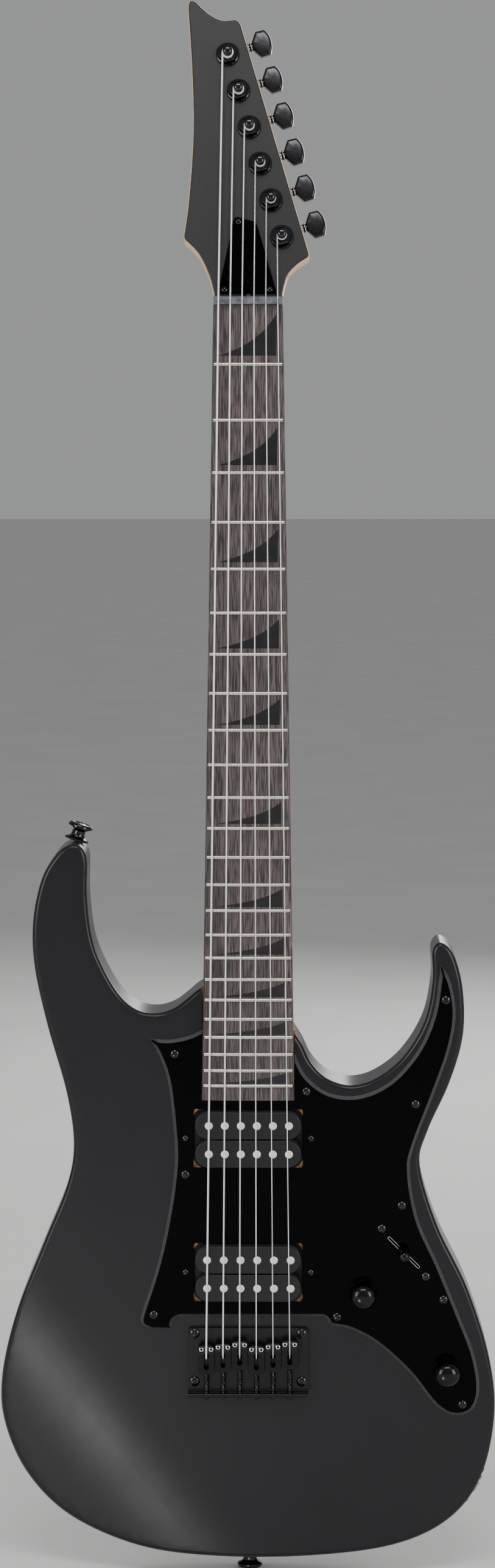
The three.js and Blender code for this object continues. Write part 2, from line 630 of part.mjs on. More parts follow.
function makeSaddle(i) {
  const x = stringX(i, STRING_PITCH_BRIDGE);
  const front = SADDLE_FRONT_Z[i];
  const half = SADDLE_WIDTH / 2;
  const top = STRING_Y_SADDLE + STRING_RADII[i] + GAP;
  const side = new THREE.Shape();
  side.moveTo(-BRIDGE_THICK - 2 * GAP, front);
  side.lineTo(-BRIDGE_THICK - 2 * GAP, front - SADDLE_LENGTH);
  side.lineTo(top + 4, front - SADDLE_LENGTH);
  side.lineTo(top, front - 4.6);
  side.lineTo(top, front - 1.2);
  side.lineTo(top + 1, front);
  const block = new THREE.ExtrudeGeometry(side, { depth: SADDLE_WIDTH, bevelEnabled: false });
  block.applyMatrix4(new THREE.Matrix4().makeBasis(
    new THREE.Vector3(0, 1, 0), new THREE.Vector3(0, 0, 1), new THREE.Vector3(1, 0, 0),
  )).translate(x - half, 0, 0);
  const slotMiddle = front - SADDLE_SLOT_START - SADDLE_SLOT_LENGTH / 2;
  const slot = rounded(SADDLE_SLOT_WIDTH, SADDLE_SLOT_LENGTH, SADDLE_SLOT_WIDTH / 2, x, slotMiddle);
  return cut(solid(block), slab(slot, -30, 0, 3));
}

add('bridge_plate', makeBridgePlate(), MATTE_BLACK);
for (let i = 0; i < STRINGS; i += 1) {
  add(`saddle_${i + 1}`, makeSaddle(i), BLACK_METAL);
}

// ---- strings ------------------------------------------------------------------------------
// A route made of the given points, each one a ring of the tube that is swept along it.
class Route extends THREE.Curve {
  constructor(points) {
    super();
    this.points = points.map((p) => new THREE.Vector3(...p));
  }

  getPoint(t, target = new THREE.Vector3()) {
    const place = t * (this.points.length - 1);
    const i = Math.min(Math.floor(place), this.points.length - 2);
    return target.copy(this.points[i]).lerp(this.points[i + 1], place - i);
  }

  getPointAt(u, target) {
    return this.getPoint(u, target);
  }

  getTangentAt(u, target = new THREE.Vector3()) {
    const last = this.points.length - 1;
    const i = Math.round(u * last);
    const ahead = this.points[Math.min(i + 1, last)];
    return target.copy(ahead).sub(this.points[Math.max(i - 1, 0)]).normalize();
  }
}

function makeString(i) {
  const radius = STRING_RADII[i];
  const [postX, postS] = postPlace(i);
  const end = new THREE.Vector3(postX - POST_RADIUS - radius - GAP, -WINDING_HEIGHT, postS);
  end.applyMatrix4(toHead);
  const xNut = stringX(i, STRING_PITCH_NUT);
  const xBridge = stringX(i, STRING_PITCH_BRIDGE);
  const drop = SADDLE_FRONT_Z[i] - SADDLE_SLOT_START - SADDLE_TRAVEL - 0.4;
  const route = new Route([
    end.toArray(),
    [xNut + 0.03, STRING_Y_NUT + 0.1, NUT_LENGTH - 0.6],
    [xNut, STRING_Y_NUT, NUT_LENGTH - 1.6],
    [xBridge, STRING_Y_SADDLE, drop + 0.5],
    [xBridge, STRING_Y_SADDLE + 0.4, drop - 0.3],
    [xBridge, STRING_Y_SADDLE + 4.6, STRING_HOLE_Z + 0.2],
    [xBridge, STRING_Y_SADDLE + 6, STRING_HOLE_Z],
    [xBridge, BODY_THICK - 6, STRING_HOLE_Z],
  ]);
  const ring = circle(radius);
  const sweep = { steps: route.points.length - 1, curveSegments: 4, bevelEnabled: false, extrudePath: route };
  return new THREE.ExtrudeGeometry(ring, sweep);
}

for (let i = 0; i < STRINGS; i += 1) {
  add(`string_${i + 1}`, makeString(i), STEEL);
}

// ---- tuners -------------------------------------------------------------------------------
// Each tuner is built around its post: u runs out through the button, v up the row of posts.
const toTuner = (i) => {
  const [x, s] = postPlace(i);
  return new THREE.Matrix4().makeRotationY(-TUNER_LINE)
    .premultiply(new THREE.Matrix4().makeTranslation(x, 0, s)).premultiply(toHead);
};
const OUT = new THREE.Vector3(1, 0, 0);
const WORM = [0, HEAD_THICK + GAP + WORM_DEPTH, WORM_OFFSET];

function makeTunerHousing() {
  const back = HEAD_THICK + GAP;
  const [across, alongRow, deep] = GEARBOX_SIZE;
  const gearbox = slab(rounded(across, alongRow, 3, 0, GEARBOX_CENTRE), back, back + deep, 2);
  const sleeve = solid(along(rod(4, 6, 14, 10), WORM, OUT));
  const bushing = solid(along(rod(BUSHING_RADIUS, -2, back + 1, 10), [0, 0, 0], BACK));
  const washer = solid(along(rod(WASHER_RADIUS, GAP, 2.6, 12), [0, 0, 0], FRONT));
  const postBore = solid(along(rod(POST_RADIUS + 0.4, -6, back + 9.4, 10), [0, 0, 0], BACK));
  const wormBore = solid(along(rod(2.6, 1.6, 20, 8), WORM, OUT));
  return cut(join(gearbox, sleeve, bushing, washer), postBore, wormBore);
}

const POST_PROFILE = [
  [0, -HEAD_THICK - GAP - 9], [POST_RADIUS, -HEAD_THICK - GAP - 9], [POST_RADIUS, 3.4], [2.5, 5],
  [2.5, 7.6], [POST_RADIUS, 9], [POST_RADIUS, POST_HEIGHT - 1], [2, POST_HEIGHT], [0, POST_HEIGHT],
];

function makeTunerButton() {
  const key = new THREE.Shape();
  key.moveTo(18, -2.6);
  spline(key, [[20.6, -7.8], [24.4, -8.7], [28.6, -8], [30.6, -4]]);
  spline(key, [[31, 0], [30.6, 4], [28.6, 8], [24.4, 8.7], [20.6, 7.8], [18, 2.6]]);
  const plate = slab(key, -3.2, 3.2, 2);
  const grip = solid(geometryOf(plate).translate(...WORM));
  const shaft = solid(along(rod(2.1, 2, 19, 8), WORM, OUT));
  const collar = solid(along(rod(2.9, 14.3, 18.6, 10), WORM, OUT));
  return join(grip, shaft, collar);
}

const housing = makeTunerHousing();
const button = makeTunerButton();
for (let i = 0; i < STRINGS; i += 1) {
  const tuner = toTuner(i);
  add(`tuner_housing_${i + 1}`, geometryOf(housing).applyMatrix4(tuner), BLACK_METAL);
  const post = along(turned(POST_PROFILE, 10), [0, 0, 0], FRONT);
  add(`tuner_post_${i + 1}`, post.applyMatrix4(tuner), BLACK_METAL);
  add(`tuner_button_${i + 1}`, geometryOf(button).applyMatrix4(tuner), BLACK_METAL);
}

// ---- strap buttons ------------------------------------------------------------------------
const STRAP_PROFILE = [
  [0, 0], [6.4, 0], [4.4, 2.5], [4.4, 6.5], [8, 8.2], [8, 10.2], [6.8, 11.4], [0, 11.4],
];
add('strap_button_upper', along(turned(STRAP_PROFILE, 16), STRAP_UPPER.at, STRAP_UPPER.axis), BLACK_METAL);
add('strap_button_lower', along(turned(STRAP_PROFILE, 16), STRAP_LOWER.at, STRAP_LOWER.axis), BLACK_METAL);

export default guitar;
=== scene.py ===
import math

import bmesh
import bpy
import numpy as np
from mathutils import Matrix, Vector
from mathutils.geometry import delaunay_2d_cdt


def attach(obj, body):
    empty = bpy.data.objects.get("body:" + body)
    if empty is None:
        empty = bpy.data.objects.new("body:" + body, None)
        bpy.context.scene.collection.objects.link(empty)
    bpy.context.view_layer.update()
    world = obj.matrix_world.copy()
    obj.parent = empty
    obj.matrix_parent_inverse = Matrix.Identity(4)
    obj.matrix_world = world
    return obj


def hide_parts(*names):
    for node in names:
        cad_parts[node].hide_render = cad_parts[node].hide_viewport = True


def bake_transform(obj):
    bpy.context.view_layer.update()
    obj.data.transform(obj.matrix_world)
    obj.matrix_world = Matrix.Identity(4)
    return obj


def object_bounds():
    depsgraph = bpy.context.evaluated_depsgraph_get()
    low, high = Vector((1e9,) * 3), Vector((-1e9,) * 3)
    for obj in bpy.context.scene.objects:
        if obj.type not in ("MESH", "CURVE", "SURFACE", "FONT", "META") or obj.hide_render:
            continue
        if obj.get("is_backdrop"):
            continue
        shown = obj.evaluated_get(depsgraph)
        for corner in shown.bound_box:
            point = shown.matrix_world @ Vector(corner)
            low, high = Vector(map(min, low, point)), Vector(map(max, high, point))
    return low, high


# The looks of a solid-body electric guitar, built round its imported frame.
# Shapes are worked out in millimetres in the row's frame and turned to metres when a piece is shown:
# x = 0 is the centre line with the bass side at -X, y = 0 the body's front face with the front
# facing -Y, and z = 0 the playing edge of the nut with the headstock up.
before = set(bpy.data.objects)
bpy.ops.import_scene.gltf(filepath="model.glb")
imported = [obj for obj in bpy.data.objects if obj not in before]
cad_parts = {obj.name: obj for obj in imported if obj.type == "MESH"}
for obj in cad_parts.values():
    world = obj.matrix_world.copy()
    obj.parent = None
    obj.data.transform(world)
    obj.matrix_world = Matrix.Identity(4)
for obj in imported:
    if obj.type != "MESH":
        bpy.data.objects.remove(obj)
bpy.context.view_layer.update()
MM = 0.001

# ---- driving dimensions ----------------------------------------------------------------------
GAP = 0.3
SCALE = 648
FRETS = 24
INLAID_FRETS = (1, 3, 5, 7, 9, 12, 15, 17, 19, 21, 24)
NUT_WIDTH = 43
NUT_LENGTH = 5.4
FRETBOARD_END = -495.3
FRETBOARD_END_WIDTH = 58.2
FRETBOARD_TOP = -8.5
FRETBOARD_BOTTOM = -2.3
FRETBOARD_RADIUS = 400
FRET_WIDTH = 2.4
FRET_HEIGHT = 1.2
NECK_TOP = -2.0
NECK_DEPTH = 13.8
HEEL_END = -491.5
HEEL_DEPTH = 18.2
POCKET_TOP = -400
POCKET_DEPTH = 16.5

BODY_THICK = 45
BODY_EDGE = 3
CREASE = (-88, -714)
CREASE_OUT = (-0.79, -0.613)
FOREARM_SLOPE = math.tan(math.radians(11))
CREASE_SOFT = 38
BELLY_CENTRE = (-165, -515)
BELLY_RADIUS = 300
BELLY_DEPTH = 17
BELLY_SOFT = 1.8
CONTROL_DEPTH = 38
PICKUP_DEPTH = 24
PICKUP_EAR_DEPTH = 23.4
PICKUP_LEDGE_DEPTH = 1.1
STRING_BORE = 2.2
FERRULE_BORE = 4.5
FERRULE_START = 39.5
JACK_BORE = 9.4

HEAD_TILT = math.radians(12)
HEAD_START = (0, -2.5, 6)
HEAD_THICK = 14.5

STRING_RADII = (0.6, 0.5, 0.42, 0.36, 0.3, 0.3)
STRINGS = len(STRING_RADII)
PITCH_NUT = 7.3
PITCH_BRIDGE = 10.5
STRING_Y_NUT = -10.9
STRING_Y_SADDLE = -14
STRING_HOLE_Z = -659.3

GUARD_FRONT = -2.5
PICKUP_Z = (-520.3, -605.6)
BOBBIN = (66.2, 17.2)
BOBBIN_PITCH = 18
BOBBIN_TOP = -8.8
BOBBIN_BACK = 2.2

BRIDGE_WIDTH = 76
BRIDGE_TOP_Z = -641
BRIDGE_REAR_Z = -683.9
FLANGE_Z = -681.5
FLANGE_Y = -11.3
BRIDGE_FRONT = -3.3
SADDLE_WIDTH = 10
SADDLE_LENGTH = 18.8
SADDLE_FRONT_Z = (-650.6, -649.2, -647.6, -650.6, -648.9, -647.3)
LENGTH_SCREW_Y = -8

SADDLE_SCREW_OFFSET = 3.06
KNOBS = {"volume": (72.3, -618.4), "tone": (125.2, -667.9)}
SWITCH_PLACE = (97.9, -592.6)

TUNER_FIRST = (-13.1, 153.2)
TUNER_PITCH = 24.2
TUNER_LINE = math.atan2(0.2796, 0.9602)
WORM = (0, 21.8, 6.7)
WINDING_HEIGHT = 5.6

JACK_CENTRE = Vector((142.1, 22, -744.2))
JACK_NORMAL = Vector((0.884, 0, -0.467)).normalized()
STRAP_UPPER = (Vector((-108.6, 22, -334.4)), Vector((0.31, 0, 0.95)))
STRAP_LOWER = (Vector((0.9, 22, -789.9)), Vector((0, 0, -1)))


def neck_half(z):
    return (NUT_WIDTH + (FRETBOARD_END_WIDTH - NUT_WIDTH) * z / FRETBOARD_END) / 2


def fret_z(n):
    return -SCALE * (1 - 2 ** (-n / 12))


def board_top(x):
    return FRETBOARD_TOP + x * x / (2 * FRETBOARD_RADIUS)


def string_x(i, pitch):
    return (i - (STRINGS - 1) / 2) * pitch


def smoothstep(a, b, t):
    t = min(max((t - a) / (b - a), 0.0), 1.0)
    return t * t * (3 - 2 * t)


# ---- outlines in the X-Z plane ---------------------------------------------------------------
def catmull(a, b, c, d, t):
    return tuple(
        0.5 * (2 * q + (r - p) * t + (2 * p - 5 * q + 4 * r - s) * t * t
               + (3 * q - p - 3 * r + s) * t**3)
        for p, q, r, s in zip(a, b, c, d)
    )


class Path:
    """An outline drawn point by point, with straight, spline and quadratic stretches."""

    def __init__(self, x, z):
        self.points = [(x, z)]

    def line(self, x, z):
        self.points.append((x, z))
        return self

    def spline(self, knots, steps=8):
        knots = [self.points[-1], *knots]
        last = len(knots) - 1
        for i in range(last):
            span = knots[max(i - 1, 0)], knots[i], knots[i + 1], knots[min(i + 2, last)]
            self.points += [catmull(*span, k / steps) for k in range(1, steps + 1)]
        return self

    def quad(self, cx, cz, x, z, steps=8):
        x0, z0 = self.points[-1]
        for k in range(1, steps + 1):
            t = k / steps
            weights = ((1 - t) ** 2, 2 * t * (1 - t), t * t)
            self.points.append(tuple(
                sum(w * v for w, v in zip(weights, vs)) for vs in ((x0, cx, x), (z0, cz, z))
            ))
        return self


def closed_spline(knots, steps=8):
    n = len(knots)
    return [
        catmull(knots[i - 1], knots[i], knots[(i + 1) % n], knots[(i + 2) % n], k / steps)
        for i in range(n)
        for k in range(steps)
    ]


def circle(radius, cx=0, cz=0, sides=40):
    return [
        (cx + radius * math.cos(2 * math.pi * k / sides), cz + radius * math.sin(2 * math.pi * k / sides))
        for k in range(sides)
    ]


def rounded(width, height, radius, cx=0, cz=0, steps=8):
    points = []
    for quarter, (sx, sz) in enumerate(((1, 1), (-1, 1), (-1, -1), (1, -1))):
        for k in range(steps + 1):
            angle = math.pi / 2 * (quarter + k / steps)
            points.append((
                cx + sx * (width / 2 - radius) + radius * math.cos(angle),
                cz + sz * (height / 2 - radius) + radius * math.sin(angle),
            ))
    return points


def fillet(points, radius, steps=4, closed=True):
    """Rounds an outline's corners, each by at most a third of its shorter side."""
    n = len(points)
    made = []
    for i, point in enumerate(points):
        if not closed and i in (0, n - 1):
            made.append(tuple(point))
            continue
        corner = Vector(point)
        before = Vector(points[i - 1]) - corner
        after = Vector(points[(i + 1) % n]) - corner
        reach = min(radius, before.length / 3, after.length / 3)
        start = corner + before.normalized() * reach
        end = corner + after.normalized() * reach
        for k in range(steps + 1):
            t = k / steps
            made.append(tuple((1 - t) ** 2 * start + 2 * t * (1 - t) * corner + t * t * end))
    return made


def signed_area(points):
    return sum(a[0] * b[1] - b[0] * a[1] for a, b in zip(points, points[1:] + points[:1])) / 2


def cross(a, b):
    return a[:, 0] * b[:, 1] - a[:, 1] * b[:, 0]


def tangled(moved, edges):
    """Which points of a moved outline stand where it folds back or crosses itself nearby."""
    ends = np.roll(moved, -1, 0)
    folded = ((ends - moved) * edges).sum(1) <= 0
    marked = folded | np.roll(folded, 1)
    for gap in range(2, 16):
        other, other_end = np.roll(moved, -gap, 0), np.roll(ends, -gap, 0)
        along, across = ends - moved, other_end - other
        crossing = (cross(along, other - moved) * cross(along, other_end - moved) < 0) & (
            cross(across, moved - other) * cross(across, ends - other) < 0)
        for k in range(gap + 2):
            marked |= np.roll(crossing, k)
    return marked


def inset(points, distance):
    """The outline moved inwards along its mitres, by less where it would cross itself."""
    if distance == 0:
        return list(points)
    turn = 1 if signed_area(points) > 0 else -1
    here = np.array(points)
    edges = np.roll(here, -1, 0) - here
    lengths = np.linalg.norm(edges, axis=1)
    edges /= np.maximum(lengths, 1e-9)[:, None]
    normals = np.stack([-edges[:, 1], edges[:, 0]], 1) * turn
    before = np.roll(normals, 1, 0)
    mitre = (normals + before) / np.maximum(1 + (normals * before).sum(1), 0.5)[:, None]
    reach = np.full(len(here), float(distance))
    for _ in range(40):
        moved = here + mitre * reach[:, None]
        marked = tangled(moved, edges)
        if not marked.any():
            break
        reach[marked] *= 0.85
        for _ in range(6):
            reach = np.minimum(reach, np.roll(reach, 1) + 0.6 * np.roll(lengths, 1))
            reach = np.minimum(reach, np.roll(reach, -1) + 0.6 * lengths)
    return [tuple(p) for p in moved]


def scaled(points, share, centre):
    return [(centre[0] + (x - centre[0]) * share, centre[1] + (z - centre[1]) * share) for x, z in points]


# ---- meshes ----------------------------------------------------------------------------------
class Shell:
    """A mesh in the making. Each part of it is placed by a matrix."""

    def __init__(self):
        self.bm = bmesh.new()

    def ring(self, points, matrix=Matrix.Identity(4)):
        return [self.bm.verts.new(matrix @ Vector(p)) for p in points]

    def face(self, corners, paint=0):
        face = self.bm.faces.new(corners)
        face.material_index = paint
        return face

    def skin(self, rings, paints=None):
        """Faces between each ring and the next. A ring of one vertex is a point."""
        for k, (a, b) in enumerate(zip(rings, rings[1:])):
            paint = paints[k] if paints else 0
            n = max(len(a), len(b))
            for i in range(n):
                j = (i + 1) % n
                quad = [a[i % len(a)], a[j % len(a)], b[j % len(b)], b[i % len(b)]]
                self.face(list(dict.fromkeys(quad)), paint)

    def fill(self, rings, paint=0):
        """A flat face bounded by the first ring, with the others as its holes."""
        if len(rings) == 1:
            self.face(rings[0], paint)
            return
        edges = [
            self.bm.edges.get((a, b)) or self.bm.edges.new((a, b))
            for ring in rings
            for a, b in zip(ring, ring[1:] + ring[:1])
        ]
        made = bmesh.ops.triangle_fill(self.bm, use_beauty=True, edges=edges)
        for item in made["geom"]:
            if isinstance(item, bmesh.types.BMFace):
                item.material_index = paint

    def loft(self, rings):
        """Faces from ring to ring, closed flat at both ends."""
        self.skin(rings)
        self.fill([rings[0]])
        self.fill([rings[-1]])
        return self

    def slab(self, outline, layers, holes=(), matrix=Matrix.Identity(4), paints=None):
        """An outline in X-Z carried through layers of (inset, y), closed flat at both ends."""
        rings = [self.ring([(x, y, z) for x, z in inset(outline, d)], matrix) for d, y in layers]
        paints = paints or [0] * (len(layers) + 1)
        self.skin(rings, paints[1:])
        ends = ([rings[0]], [rings[-1]])
        for hole in holes:
            pair = [self.ring([(x, layers[k][1], z) for x, z in hole], matrix) for k in (0, -1)]
            self.skin(pair, [paints[-1]])
            ends[0].append(pair[0])
            ends[1].append(pair[1])
        self.fill(ends[0], paints[0])
        self.fill(ends[1], paints[-1])
        return self

    def turned(self, profile, matrix=Matrix.Identity(4), sides=40, paints=None):
        """Turned about +Z from (radius, height) pairs. Off the axis, the profile closes on itself."""
        rings = []
        for radius, height in profile:
            if radius < 1e-6:
                rings.append(self.ring([(0, 0, height)], matrix))
            else:
                around = circle(radius, sides=sides)
                rings.append(self.ring([(x, y, height) for x, y in around], matrix))
        if profile[0][0] > 1e-6:
            rings.append(rings[0])
        self.skin(rings, paints)
        return self

    def tube(self, points, radius, sides=10):
        """A round wire along a line of points, closed at both ends."""
        points = [Vector(p) for p in points]
        side = None
        rings = []
        for i, point in enumerate(points):
            ahead = (points[min(i + 1, len(points) - 1)] - points[max(i - 1, 0)]).normalized()
            if side is None:
                side = ahead.orthogonal().normalized()
            side = (side - ahead * side.dot(ahead)).normalized()
            across = ahead.cross(side)
            rings.append(self.ring([
                point + side * u + across * v for u, v in circle(radius, sides=sides)
            ]))
        return self.loft(rings)

    def field(self, ring, surface, seeds):
        """A curved face inside a ring, through the seed points that lie inside it."""
        edge = np.array([(v.co.x, v.co.z) for v in ring])
        seeds = seeds[inside(seeds, edge)]
        nearest = np.min(np.linalg.norm(seeds[:, None] - edge[None], axis=2), axis=1)
        spacing = np.median(np.linalg.norm(edge - np.roll(edge, 1, 0), axis=1))
        seeds = seeds[nearest > spacing * 0.6]
        places = [Vector(p) for p in (*edge, *seeds)]
        loop = [(i, (i + 1) % len(ring)) for i in range(len(ring))]
        flat, _, faces, origin, _, _ = delaunay_2d_cdt(places, loop, [], 1, 1e-4)
        verts = [
            ring[source[0]] if source and source[0] < len(ring)
            else self.bm.verts.new((p.x, surface(*p), p.y))
            for p, source in zip(flat, origin)
        ]
        for corners in faces:
            self.face([verts[c] for c in corners])

    def copies(self, mesh, matrices):
        """Copies of a finished mesh, each placed by a matrix."""
        for matrix in matrices:
            before = len(self.bm.verts)
            self.bm.from_mesh(mesh)
            self.bm.verts.ensure_lookup_table()
            bmesh.ops.transform(self.bm, matrix=matrix, verts=self.bm.verts[before:])
        return self

    def mesh(self, materials=()):
        bmesh.ops.recalc_face_normals(self.bm, faces=self.bm.faces)
        mesh = bpy.data.meshes.new("mesh")
        self.bm.to_mesh(mesh)
        self.bm.free()
        for material in materials:
            mesh.materials.append(material)
        return mesh


def inside(points, edge):
    """Which points lie inside a closed outline, by counting crossings."""
    x, z = points[:, 0][:, None], points[:, 1][:, None]
    x0, z0 = edge[:, 0], edge[:, 1]
    x1, z1 = np.roll(x0, -1), np.roll(z0, -1)
    rise = np.where(z1 == z0, 1e-12, z1 - z0)
    crossed = ((z0 > z) != (z1 > z)) & (x < (x1 - x0) * (z - z0) / rise + x0)
    return crossed.sum(axis=1) % 2 == 1


def boolean(mesh, tool, operation="DIFFERENCE"):
    """The mesh cut, joined or met with the tool. Cut faces keep the tool's material numbers."""
    pair = [bpy.data.objects.new("work", m) for m in (mesh, tool)]
    for item in pair:
        bpy.context.scene.collection.objects.link(item)
    cut = pair[0].modifiers.new("cut", "BOOLEAN")
    cut.operation = operation
    cut.solver = "EXACT"
    cut.material_mode = "INDEX"
    cut.object = pair[1]
    bpy.context.view_layer.update()
    result = pair[0].evaluated_get(bpy.context.evaluated_depsgraph_get())
    made = bpy.data.meshes.new_from_object(result)
    for item in pair:
        bpy.data.objects.remove(item)
    return made


def show(name, mesh, materials, body="root", stands_for=(), sharp=32, bevel=0):
    """Turns a mesh in millimetres into a piece of the guitar that rides on a body."""
    mesh.transform(Matrix.Scale(MM, 4))
    numbers = [face.material_index for face in mesh.polygons]
    mesh.materials.clear()
    for material in materials:
        mesh.materials.append(material)
    mesh.polygons.foreach_set("material_index", numbers)
    piece = bpy.data.objects.new(name, mesh)
    bpy.context.scene.collection.objects.link(piece)
    mesh.shade_smooth()
    mesh.set_sharp_from_angle(angle=math.radians(sharp))
    if bevel:
        edge = piece.modifiers.new("edge", "BEVEL")
        edge.width = bevel * MM
        edge.segments = 3
        edge.limit_method = "ANGLE"
        edge.angle_limit = math.radians(sharp)
        edge.harden_normals = True
    weighted = piece.modifiers.new("normals", "WEIGHTED_NORMAL")
    weighted.keep_sharp = True
    if body is not None:
        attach(piece, body)
    if stands_for:
        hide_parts(*stands_for)
    return piece


def turned_to(origin, direction):
    """The matrix that stands a piece built along +Z on a point, along a direction."""
    turn = Vector(direction).normalized().to_track_quat("Z", "Y").to_matrix().to_4x4()
    return Matrix.Translation(Vector(origin)) @ turn


FRONT = (0, -1, 0)
BACK = (0, 1, 0)
TO_FRONT, TO_BACK, TO_SIDE = (turned_to((0, 0, 0), way) for way in (FRONT, BACK, (1, 0, 0)))
HEAD = Matrix.Translation(HEAD_START) @ Matrix.Rotation(-HEAD_TILT, 4, "X")


# ---- materials -------------------------------------------------------------------------------
def linear(*srgb):
    """A colour in 0 to 255 as the renderer's, with full alpha."""
    return tuple(
        c / 12.92 / 255 if c < 10 else ((c / 255 + 0.055) / 1.055) ** 2.4 for c in srgb
    ) + (1,)


MIX_A, MIX_B, MIX_RESULT = 6, 7, 2  # the colour sockets of a mix node


class Finish:
    """A procedural material: noise in object space drives colour, roughness and relief."""

    def __init__(self, name, rough, metal=0.0, specular=0.5):
        self.material = bpy.data.materials.new(name)
        self.material.use_nodes = True
        self.tree = self.material.node_tree
        self.shader = self.tree.nodes["Principled BSDF"]
        self.shader.inputs["Metallic"].default_value = metal
        self.shader.inputs["Roughness"].default_value = rough
        self.shader.inputs["Specular IOR Level"].default_value = specular
        self.place = self.tree.nodes.new("ShaderNodeTexCoord").outputs["Object"]

    def noise(self, scale, stretch=(1, 1, 1), detail=3.0, distortion=0.0):
        mapping = self.tree.nodes.new("ShaderNodeMapping")
        mapping.inputs["Scale"].default_value = stretch
        self.tree.links.new(self.place, mapping.inputs["Vector"])
        noise = self.tree.nodes.new("ShaderNodeTexNoise")
        noise.inputs["Scale"].default_value = scale
        noise.inputs["Detail"].default_value = detail
        noise.inputs["Distortion"].default_value = distortion
        self.tree.links.new(mapping.outputs["Vector"], noise.inputs["Vector"])
        return noise.outputs["Fac"]

    def ramp(self, source, *stops):
        """Colours at places along a value: (place, colour) pairs."""
        ramp = self.tree.nodes.new("ShaderNodeValToRGB")
        elements = ramp.color_ramp.elements
        while len(elements) < len(stops):
            elements.new(0.5)
        for element, (place, colour) in zip(elements, stops):
            element.position = place
            element.color = colour
        self.tree.links.new(source, ramp.inputs["Fac"])
        return ramp.outputs["Color"]

    def blend(self, share, one, two):
        """From a colour output to a plain colour, by the share."""
        mix = self.tree.nodes.new("ShaderNodeMix")
        mix.data_type = "RGBA"
        self.tree.links.new(share, mix.inputs["Factor"])
        self.tree.links.new(one, mix.inputs[MIX_A])
        mix.inputs[MIX_B].default_value = two
        return mix.outputs[MIX_RESULT]

    def colour(self, source):
        self.tree.links.new(source, self.shader.inputs["Base Color"])
        return self

    def rough(self, source, low, high):
        spread = self.tree.nodes.new("ShaderNodeMapRange")
        spread.inputs["From Min"].default_value = 0.3
        spread.inputs["From Max"].default_value = 0.7
        spread.inputs["To Min"].default_value = low
        spread.inputs["To Max"].default_value = high
        self.tree.links.new(source, spread.inputs["Value"])
        self.tree.links.new(spread.outputs["Result"], self.shader.inputs["Roughness"])
        return self

    def relief(self, source, strength, depth=0.0001):
        bump = self.tree.nodes.new("ShaderNodeBump")
        bump.inputs["Strength"].default_value = strength
        bump.inputs["Distance"].default_value = depth
        self.tree.links.new(source, bump.inputs["Height"])
        self.tree.links.new(bump.outputs["Normal"], self.shader.inputs["Normal"])
        return self


def plain_finish(name, dark, light, rough, metal=0.0, specular=0.5, scale=900, bump=0.15):
    """A painted, moulded or metal surface: fine speckle, patchy sheen and a light texture."""
    made = Finish(name, rough, metal, specular)
    speckle = made.noise(scale, detail=4)
    made.colour(made.ramp(speckle, (0.35, linear(*dark)), (0.65, linear(*light))))
    made.rough(made.noise(28, detail=5), rough * 0.94, rough * 1.07)
    made.relief(speckle, bump)
    return made.material


def wood(name, dark, light, pore, rough, streak=0.5, fine=900):
    """Timber with its grain along Z: broad figure, fine streaks and dark pores."""
    made = Finish(name, rough)
    figure = made.noise(55, (1, 1, 0.09), 6, 0.6)
    base = made.ramp(figure, (0.32, linear(*dark)), (0.68, linear(*light)))
    pores = made.noise(fine, (1, 1, 0.035), 3)
    marks = made.ramp(pores, (streak, (1, 1, 1, 1)), (streak + 0.12, (0, 0, 0, 1)))
    made.colour(made.blend(marks, base, linear(*pore)))
    made.rough(figure, rough * 0.85, rough * 1.15)
    made.relief(pores, 0.35, 0.0002)
    return made.material


def brushed(name, dark, light, rough, stretch, metal=1.0):
    """Metal with fine scratches drawn out along one direction."""
    made = Finish(name, rough, metal)
    lines = made.noise(1400, stretch, 4)
    made.colour(made.ramp(lines, (0.3, linear(*dark)), (0.7, linear(*light))))
    made.rough(lines, rough * 0.8, rough * 1.3)
    made.relief(lines, 0.12)
    return made.material


PAINT = plain_finish("satin_charcoal_paint", (20, 20, 23), (26, 26, 30), 0.29, specular=0.34, scale=1500, bump=0.1)
HEAD_PAINT = plain_finish("satin_headstock_paint", (22, 22, 24), (29, 29, 31), 0.4, specular=0.4, scale=1500, bump=0.1)
MAPLE = wood("satin_maple", (236, 188, 138), (250, 212, 166), (224, 172, 118), 0.42, 0.4, 1500)
RAW_WOOD = wood("raw_body_wood", (226, 176, 112), (244, 202, 146), (166, 114, 62), 0.7, 0.42)
ROSEWOOD = wood("dark_rosewood", (78, 67, 68), (106, 92, 92), (40, 34, 34), 0.5, 0.44, 1900)
INLAY = plain_finish("dark_inlay", (20, 20, 22), (30, 30, 32), 0.3, scale=120, bump=0.02)
FRET_METAL = brushed("nickel_fret", (212, 208, 198), (240, 236, 226), 0.22, (1, 0.05, 1))
NUT_PLASTIC = plain_finish("graphite_nut", (66, 68, 72), (104, 107, 112), 0.42, scale=260)
# Gloss black plastic. It is also painted into the grub screws' hex sockets as painted shade.
GLOSS_BLACK_AND_SOCKET_SHADE = plain_finish("gloss_black_and_socket_shade", (2, 2, 2), (3, 3, 3), 0.09, specular=0.06, scale=400, bump=0.01)
GUARD_EDGE = plain_finish("cut_guard_edge", (44, 44, 47), (66, 66, 69), 0.5, scale=1200, bump=0.3)
BOBBIN_PLASTIC = plain_finish("bobbin_plastic", (18, 18, 20), (25, 25, 27), 0.38, specular=0.36, scale=1100, bump=0.2)
COIL_TAPE = plain_finish("coil_tape", (12, 12, 13), (19, 19, 20), 0.6, scale=500, bump=0.3)
POLE = brushed("pole_steel", (232, 224, 210), (248, 242, 230), 0.36, (1, 0.05, 0.3), 0.5)
BLACK_CHROME = plain_finish("black_chrome", (62, 61, 64), (70, 69, 72), 0.1, metal=1.0, scale=60, bump=0.01)
